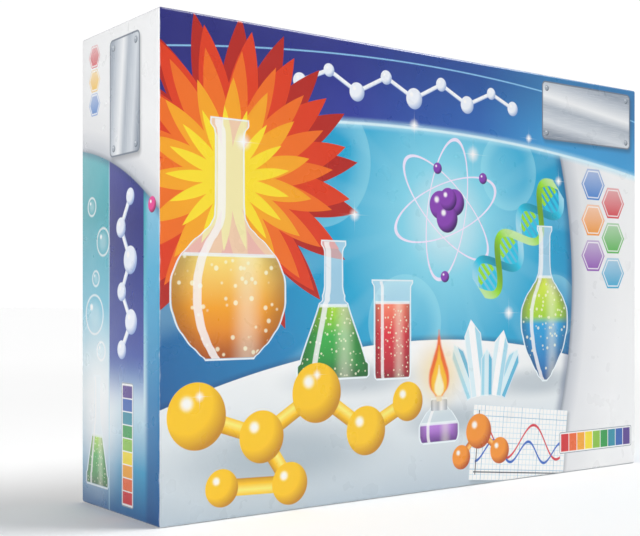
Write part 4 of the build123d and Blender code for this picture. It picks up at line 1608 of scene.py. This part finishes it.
bulb = lathe("dropper_bulb_soft", BULB, heart("dropper_bulb", UP), UP, 40)
place(bulb, "dropper", "dropper_bulb", "bulb_rubber", orange_rubber)
print("the bulb's outline has", len(BULB), "points")

# %% [markdown]
# ### Funnel
# It lies on its back with its mouth to the front, so its outline is drawn downwards from the
# mouth: a rolled rim, the cone, a soft turn and the stem, then back up inside.

# %% Funnel
FUNNEL = [(33.7, -0.35), *bend(34.1, -0.35, 0.35, 180, 90, 2), *bend(36.75, -0.65, 0.65, 90, -90, 6),
          (35.2, -1.3), (6.9, -36.0), (5.7, -37.7), (5.2, -39.8), (5.2, -70.6),
          *bend(4.55, -71.35, 0.65, 0, -180, 5), (3.9, -40.0), (4.3, -38.2), (33.7, -0.35)]
mouth = heart("funnel", OUT)
mouth.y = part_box("funnel")[0].y
funnel = lathe("funnel_magenta", FUNNEL, mouth, OUT, 64)
place(funnel, "funnel", "funnel", "funnel_plastic", magenta)
print("the funnel's mouth is at", [round(MM * part) for part in mouth])

# %% [markdown]
# ### Dish and its lid
# Two shallow cups, one turned over the other. The lid's axis points back, so it is the same kind
# of outline, a little wider and lower.

# %% Dish and its lid
DISH = [(0, 0), *bend(43, 1, 1, -90, 0), *bend(43.35, 13.35, 0.65, 0, 180, 5),
        *bend(41.9, 2.1, 0.8, 0, -90, 3), (0, 1.3)]
dish = lathe("petri_dish_clear", DISH, heart("petri_dish", OUT), OUT, 72)
place(dish, "dish", "petri_dish", "clear_plastic", clear)
COVER = [(0, 0), *bend(44.6, 1.2, 1.2, -90, 0), *bend(45.15, 11.75, 0.65, 0, 180, 5),
         *bend(43.7, 2.1, 0.8, 0, -90, 3), (0, 1.3)]
cover = lathe("petri_lid_clear", COVER, heart("petri_lid", BACK), BACK, 72)
place(cover, "dish_lid", "petri_lid", "clear_plastic", clear)
print("the dish's outline has", len(DISH), "points and its lid's", len(COVER))

# %% [markdown]
# ### Jars
# A jar's outline has a raised foot, round shoulders, and two low turns of thread on its neck.

# %% Jars
THREAD = [(15.6, 46), (15.82, 46.5), (15.82, 47.1), (15.6, 47.6), (15.6, 49.4), (15.82, 49.9),
          (15.82, 50.5), (15.6, 51)]
JAR = [(0, 0.5), (14, 0.5), (15.6, 0), *bend(17.5, 1.5, 1.5, -90, 0), *bend(17.5, 42.5, 1.5, 0, 90),
       (15.9, 44), (15.6, 44.4), *THREAD, (15.6, 53.4), *bend(15.0, 53.4, 0.6, 0, 90, 3),
       *bend(14.8, 53.5, 0.5, 90, 180, 3), (14.3, 42.0), (14.9, 41.4), (17.0, 40.9),
       *bend(16.9, 40.1, 0.8, 90, 0, 3), *bend(16.7, 2.3, 1, 0, -90), (0, 1.3)]
JARS = (1, 2, 3)
for number in JARS:
    jar = lathe(f"reagent_jar_{number}_milky", JAR, heart(f"reagent_jar_{number}", OUT), OUT, 48)
    place(jar, f"jar_{number}", f"reagent_jar_{number}", "jar_plastic", milky)
print("the neck's thread has", len(THREAD), "points")

# %% [markdown]
# ### Caps and powders
# A cap is spun in 96 columns, and every second column of its wall is then pushed out, which makes
# the ribs that fingers grip. The powders keep the shape that they have, with a grainy finish.


# %% Caps and powders
CAP = [(0, 10.5), (14.4, 10.5), (14.9, 10.8), *bend(16.2, 9.8, 1.0, 90, 0), (17.2, 9.3), (17.2, 1.5),
       (17.2, 0.9), (17.2, 0.3), (16.9, 0), (15.9, 0), (15.9, 9.5), (0, 9.5)]
CAP_WALL, RIB_OUT = 17.2, 17.85  # radii of the wall and of its ribs
RIBS_FROM, RIBS_TO, RIB_STEPS = 1.5, 9.3, 96


def ribbed(cap, foot):
    """Push every second column of a cap's wall outwards."""
    edit(cap)

    def on_rib(vertex):
        out = (vertex.co - foot) * MM
        column = round(atan2(out.z, out.x) * RIB_STEPS / (2 * pi))
        on_wall = RIBS_FROM - 0.1 < -out.y < RIBS_TO + 0.1 and Vector((out.x, out.z)).length > CAP_WALL - 0.1
        return on_wall and column % 2 == 0

    ribs = pick("verts", on_rib)
    reach = RIB_OUT / CAP_WALL
    bpy.ops.transform.resize(value=(reach, 1, reach), center_override=foot)
    bpy.ops.object.mode_set(mode="OBJECT")
    smooth(cap, 30)
    return ribs


for number, slot, plastic, powder in zip(JARS, ("cap_red", "cap_green", "cap_blue"), cap_colours, powders):
    foot = heart(f"jar_cap_{number}", OUT)
    cap = lathe(f"jar_cap_{number}_ribbed", CAP, foot, OUT, RIB_STEPS)
    print("rib points", ribbed(cap, foot))
    place(cap, f"cap_{number}", f"jar_cap_{number}", slot, plastic)
    new_finish(f"reagent_{number}", powder)

# %% [markdown]
# ## Formed and moulded pieces
# The tray, the rack, the spoon and the cylinder's foot have their shape already. A copy of each
# has its seams merged, and its edges are rounded by a small bevel: no formed sheet and no mould
# leaves a knife's edge. The copy stands in for the sharp one.


# %% Rounded copies
def eased(name, node, width, segments=2):
    """Copy of a node with merged seams and edges rounded by a width in millimetres."""
    piece = bpy.data.objects.new(name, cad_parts[node].data.copy())
    piece.data.materials.clear()
    scene.collection.objects.link(piece)
    edit(piece)
    bpy.ops.mesh.select_all(action="SELECT")
    bpy.ops.mesh.remove_doubles(threshold=5e-6)
    bpy.ops.mesh.dissolve_limited(angle_limit=radians(1))
    bpy.ops.object.mode_set(mode="OBJECT")
    press(piece, "BEVEL", width=width / MM, segments=segments, limit_method="ANGLE", angle_limit=radians(28),
          use_clamp_overlap=True)
    smooth(piece, 40)
    return piece


for name, node, width, body, slot, plastic in (
    ("insert_tray_formed", "insert_tray", 0.4, "tray", "formed_sheet", formed),
    ("test_tube_rack_moulded", "test_tube_rack", 0.4, "rack", "rack_plastic", rack_yellow),
    ("cylinder_foot_moulded", "cylinder_foot", 0.4, "cylinder", "foot_plastic", rack_yellow),
    ("measuring_spoon_moulded", "measuring_spoon", 0.25, "spoon", "spoon_plastic", white_plastic),
):
    place(eased(name, node, width), body, node, slot, plastic)
    print(name, "has edges rounded by", width, "mm")

# %% [markdown]
# ## Booklet and colour card
# The booklet and the card are printed like the box, each from a page of its own. A page is laid
# out in millimetres from the lower left corner of the sheet's front.


# %% Colour card's print
def sheet_mapping(node):
    """Page that starts at the lower left corner of a node's front."""
    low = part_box(node)[0]
    return laid((-MM * low.x, -MM * low.z, 0), (UPRIGHT, 0, 0))


CARD_CHIPS = [hue(code) for code in (
    "5E2F84", "453C92", "2F57A4", "2A78B4", "22908F", "2A9D63", "5CB548",
    "A6CE3C", "E9E13A", "FACB26", "F8A421", "F0762A", "E2452A", "C81E2B")]
CARD_SIZE = (54, 150)  # millimetres, as are the two below
CHIPS_MIDDLE, CHIP_STEP = (33, 71), 9.4


def card_print(page):
    """White card with a tall row of colour chips and a band at its head."""
    page.ink(1.0, hue("F2F2EE"))
    head = Spot(page, 27, 143)
    page.ink(inside(page, head.slab(48, 7, 2)), hue("2B49A6"))
    frame_line = Spot(page, 27, 75).slab(50, 146, 3)
    page.ink(inside(page, 0.25 - (frame_line - 0.25).size()), hue("8793A6"))
    colour_scale(page, *CHIPS_MIDDLE, CARD_CHIPS, CHIP_STEP, 26, turn=90)


card_face = printed("card_face", card_print, sheet_mapping("colour_card"), *CARD_SIZE)
print("the card has", len(CARD_CHIPS), "colours")

# %% [markdown]
# ### The booklet's cover
# It shows the same motifs as the box in the same inks, in a layout of its own.


# %% Booklet's print
BOOKLET_SIZE = (148, 210)


def booklet_ground(page):
    """Deep blue cover with a pale disc and a band."""
    ground = page.ramp(
        page.along(page.v, 0, 210),
        [(0.0, hue("0A4A93")), (0.5, hue("1C93CE")), (1.0, hue("2B3C9C"))],
    )
    page.ink(1.0, ground)
    glow = Spot(page, 74, 104)
    page.ink(page.spread(glow.away(), 20, 96, 0.75, 0.0), hue("D6F4FC"))
    band = page.v + page.u * 0.10
    page.ink(inside(page, 13 - (band - 186).size()), hue("F6F8FA"))
    page.ink(inside(page, 1.2 - (band - 168).size()), hue("FFC91A"))


def booklet_print(page):
    """Picture on the booklet's cover, from back to front."""
    page.motif(booklet_ground)
    page.motif(atom, 74, 112, 44, PURPLE_BALL, hue("F7E9FF"))
    page.motif(stood, 34, 16, 62, 15, CONE_FLASK, 30, GREEN, bubbles=0.4)
    page.motif(stood, 74, 14, 52, 13, BEAKER, 34, RED, bubbles=0.4)
    page.motif(stood, 114, 14, 66, 16, ROUND_FLASK, 30, AMBER, bubbles=0.3)


booklet_face = printed("booklet_face", booklet_print, sheet_mapping("book_cover"), *BOOKLET_SIZE)
print("the cover is", BOOKLET_SIZE[0], "by", BOOKLET_SIZE[1], "mm")

# %% [markdown]
# ### Paper pieces
# Both sheets are rounded copies, printed on the face that looks out. The booklet's leaves are one
# block, whose edges show the fine lines of many sheets.


# %% Card, cover and leaves
def leaf_edges(name):
    """Paper with the fine lines of many leaves."""
    material, tree, shader = finish(name, Roughness=0.9)
    ramp = tree.nodes.new("ShaderNodeValToRGB")
    ramp.color_ramp.elements[0].position, ramp.color_ramp.elements[1].position = 0.40, 0.60
    ramp.color_ramp.elements[0].color = (*hue("C9C4B6"), 1)
    ramp.color_ramp.elements[1].color = (*hue("F1EEE5"), 1)
    lines = surface_noise(tree, 60, detail=2, stretch=(0.05, 120, 0.05))
    tree.links.new(lines, ramp.inputs["Fac"])
    tree.links.new(ramp.outputs["Color"], shader.inputs["Base Color"])
    emboss(tree, shader, lines, 0.0001)
    return material


def front_paper(node, name, width, body, slot, print_face, rest):
    """Rounded copy of a flat node, printed on the face that looks out and plain on the others."""
    piece = eased(name, node, width, 1)
    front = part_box(node)[0].y
    piece.data.materials.append(print_face)
    piece.data.materials.append(rest)
    for face in piece.data.polygons:
        looks_out = face.normal.y < -0.9 and abs(face.center.y - front) < TOUCH
        face.material_index = 0 if looks_out else 1
    place(piece, body, node, slot)


front_paper("colour_card", "colour_card_printed", 0.1, "card", "printed_card", card_face, plain_wrap)
front_paper("book_cover", "book_cover_printed", 0.1, "booklet", "printed_cover", booklet_face, plain_wrap)
new_finish("book_pages", leaf_edges("book_paper"))
print("card and cover are printed in front and plain behind")

# %% [markdown]
# ## Numbers and rings
# Numbers stand beside the card's chips and the cylinder's rings, because a scale without numbers
# is no use. They are thin raised pieces of their own, so they stay crisp.


# %% Numbers
RAISED = 0.02  # half of a number's thickness, in millimetres
NUMBERS_IN, CARD_NUMBER, CYLINDER_NUMBER = 10.5, 5.5, 4.6  # how far in on the card, and two heights


def numeral(name, text, size, centre):
    """Raised number that looks out of the case, its middle at a place."""
    nothing_selected()
    bpy.ops.object.text_add(align="WORLD")
    label = bpy.context.object
    label.data.body, label.data.size = text, size / MM
    label.data.align_x, label.data.align_y = "CENTER", "CENTER"
    label.data.extrude, label.data.resolution_u = RAISED / MM, 3
    bpy.ops.object.convert(target="MESH")
    piece = bpy.context.object
    piece.name = piece.data.name = name
    edit(piece)
    bpy.ops.mesh.select_all(action="SELECT")
    bpy.ops.transform.rotate(value=radians(-90), orient_axis="X", center_override=(0, 0, 0))
    bpy.ops.transform.translate(value=centre)
    bpy.ops.object.mode_set(mode="OBJECT")
    return piece


def joined(name, pieces):
    """One piece out of several."""
    nothing_selected()
    for piece in pieces:
        piece.select_set(True)
    bpy.context.view_layer.objects.active = pieces[0]
    bpy.ops.object.join()
    pieces[0].name = pieces[0].data.name = name
    return pieces[0]


def inked(piece, body):
    """Give a piece the ink of a scale, and let it move with a body."""
    piece.data.materials.append(scale_ink)
    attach(piece, body)


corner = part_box("colour_card")[0]
numbers = []
for count in range(1, len(CARD_CHIPS) + 1):
    chip = CHIPS_MIDDLE[1] + CHIP_STEP * ((len(CARD_CHIPS) + 1) / 2 - count)
    spot = (corner.x + NUMBERS_IN / MM, corner.y - TOUCH, corner.z + chip / MM)
    numbers.append(numeral(f"card_number_{count}", str(count), CARD_NUMBER, spot))
inked(joined("card_numbers", numbers), "card")
print("numbers on the card", len(CARD_CHIPS))

# %% [markdown]
# ### The cylinder's rings
# A ring is a very low band turned round the barrel, every 13 mm. Rings are printed only where the
# barrel looks out, so their other faces are deleted.

# %% Rings
foot = heart("measuring_cylinder", UP)
RING, RING_RISE, TICK = 13.0, 0.05, 0.3  # the barrel's radius, and a ring's rise and height
FIRST_RING, RING_STEP = 25, 13
RING_ENDS = 0.006  # metres before the barrel's axis
rings = []
for count in range(10):
    low = FIRST_RING + RING_STEP * count
    inner, outer = RING, RING + RING_RISE
    outline = [(inner, low), (outer, low), (outer, low + TICK), (inner, low + TICK), (inner, low)]
    rings.append(lathe(f"ring_{count + 1}", outline, foot, UP, 40))
rings = joined("cylinder_rings", rings)
edit(rings)
away = pick("faces", lambda face: middle(face).y > foot.y - RING_ENDS)
bpy.ops.mesh.delete(type="FACE")
bpy.ops.object.mode_set(mode="OBJECT")
inked(rings, "cylinder")
print("deleted", away, "faces of the rings, kept", len(rings.data.polygons))

# %% [markdown]
# ### The cylinder's numbers
# Each number is made flat in front of the barrel, cut finer, and pressed on to the round wall.

# %% Cylinder's numbers
IN_FRONT = 0.014  # metres before the barrel's axis
ABOVE_RING = 3
labels = []
for count in range(10):
    above = FIRST_RING + RING_STEP * count + ABOVE_RING
    spot = (foot.x, foot.y - IN_FRONT, foot.z + above / MM)
    label = numeral(f"cylinder_number_{count + 1}", str(10 * (count + 1)), CYLINDER_NUMBER, spot)
    edit(label)
    bpy.ops.mesh.select_all(action="SELECT")
    bpy.ops.mesh.quads_convert_to_tris()
    bpy.ops.mesh.subdivide(number_cuts=2)
    bpy.ops.object.mode_set(mode="OBJECT")
    press(label, "SHRINKWRAP", target=barrel, wrap_method="NEAREST_SURFACEPOINT",
          wrap_mode="ABOVE_SURFACE", offset=0.00006)
    labels.append(label)
labels = joined("cylinder_numbers", labels)
inked(labels, "cylinder")
print("the cylinder's numbers have", len(labels.data.polygons), "faces")

# %% [markdown]
# ## The end
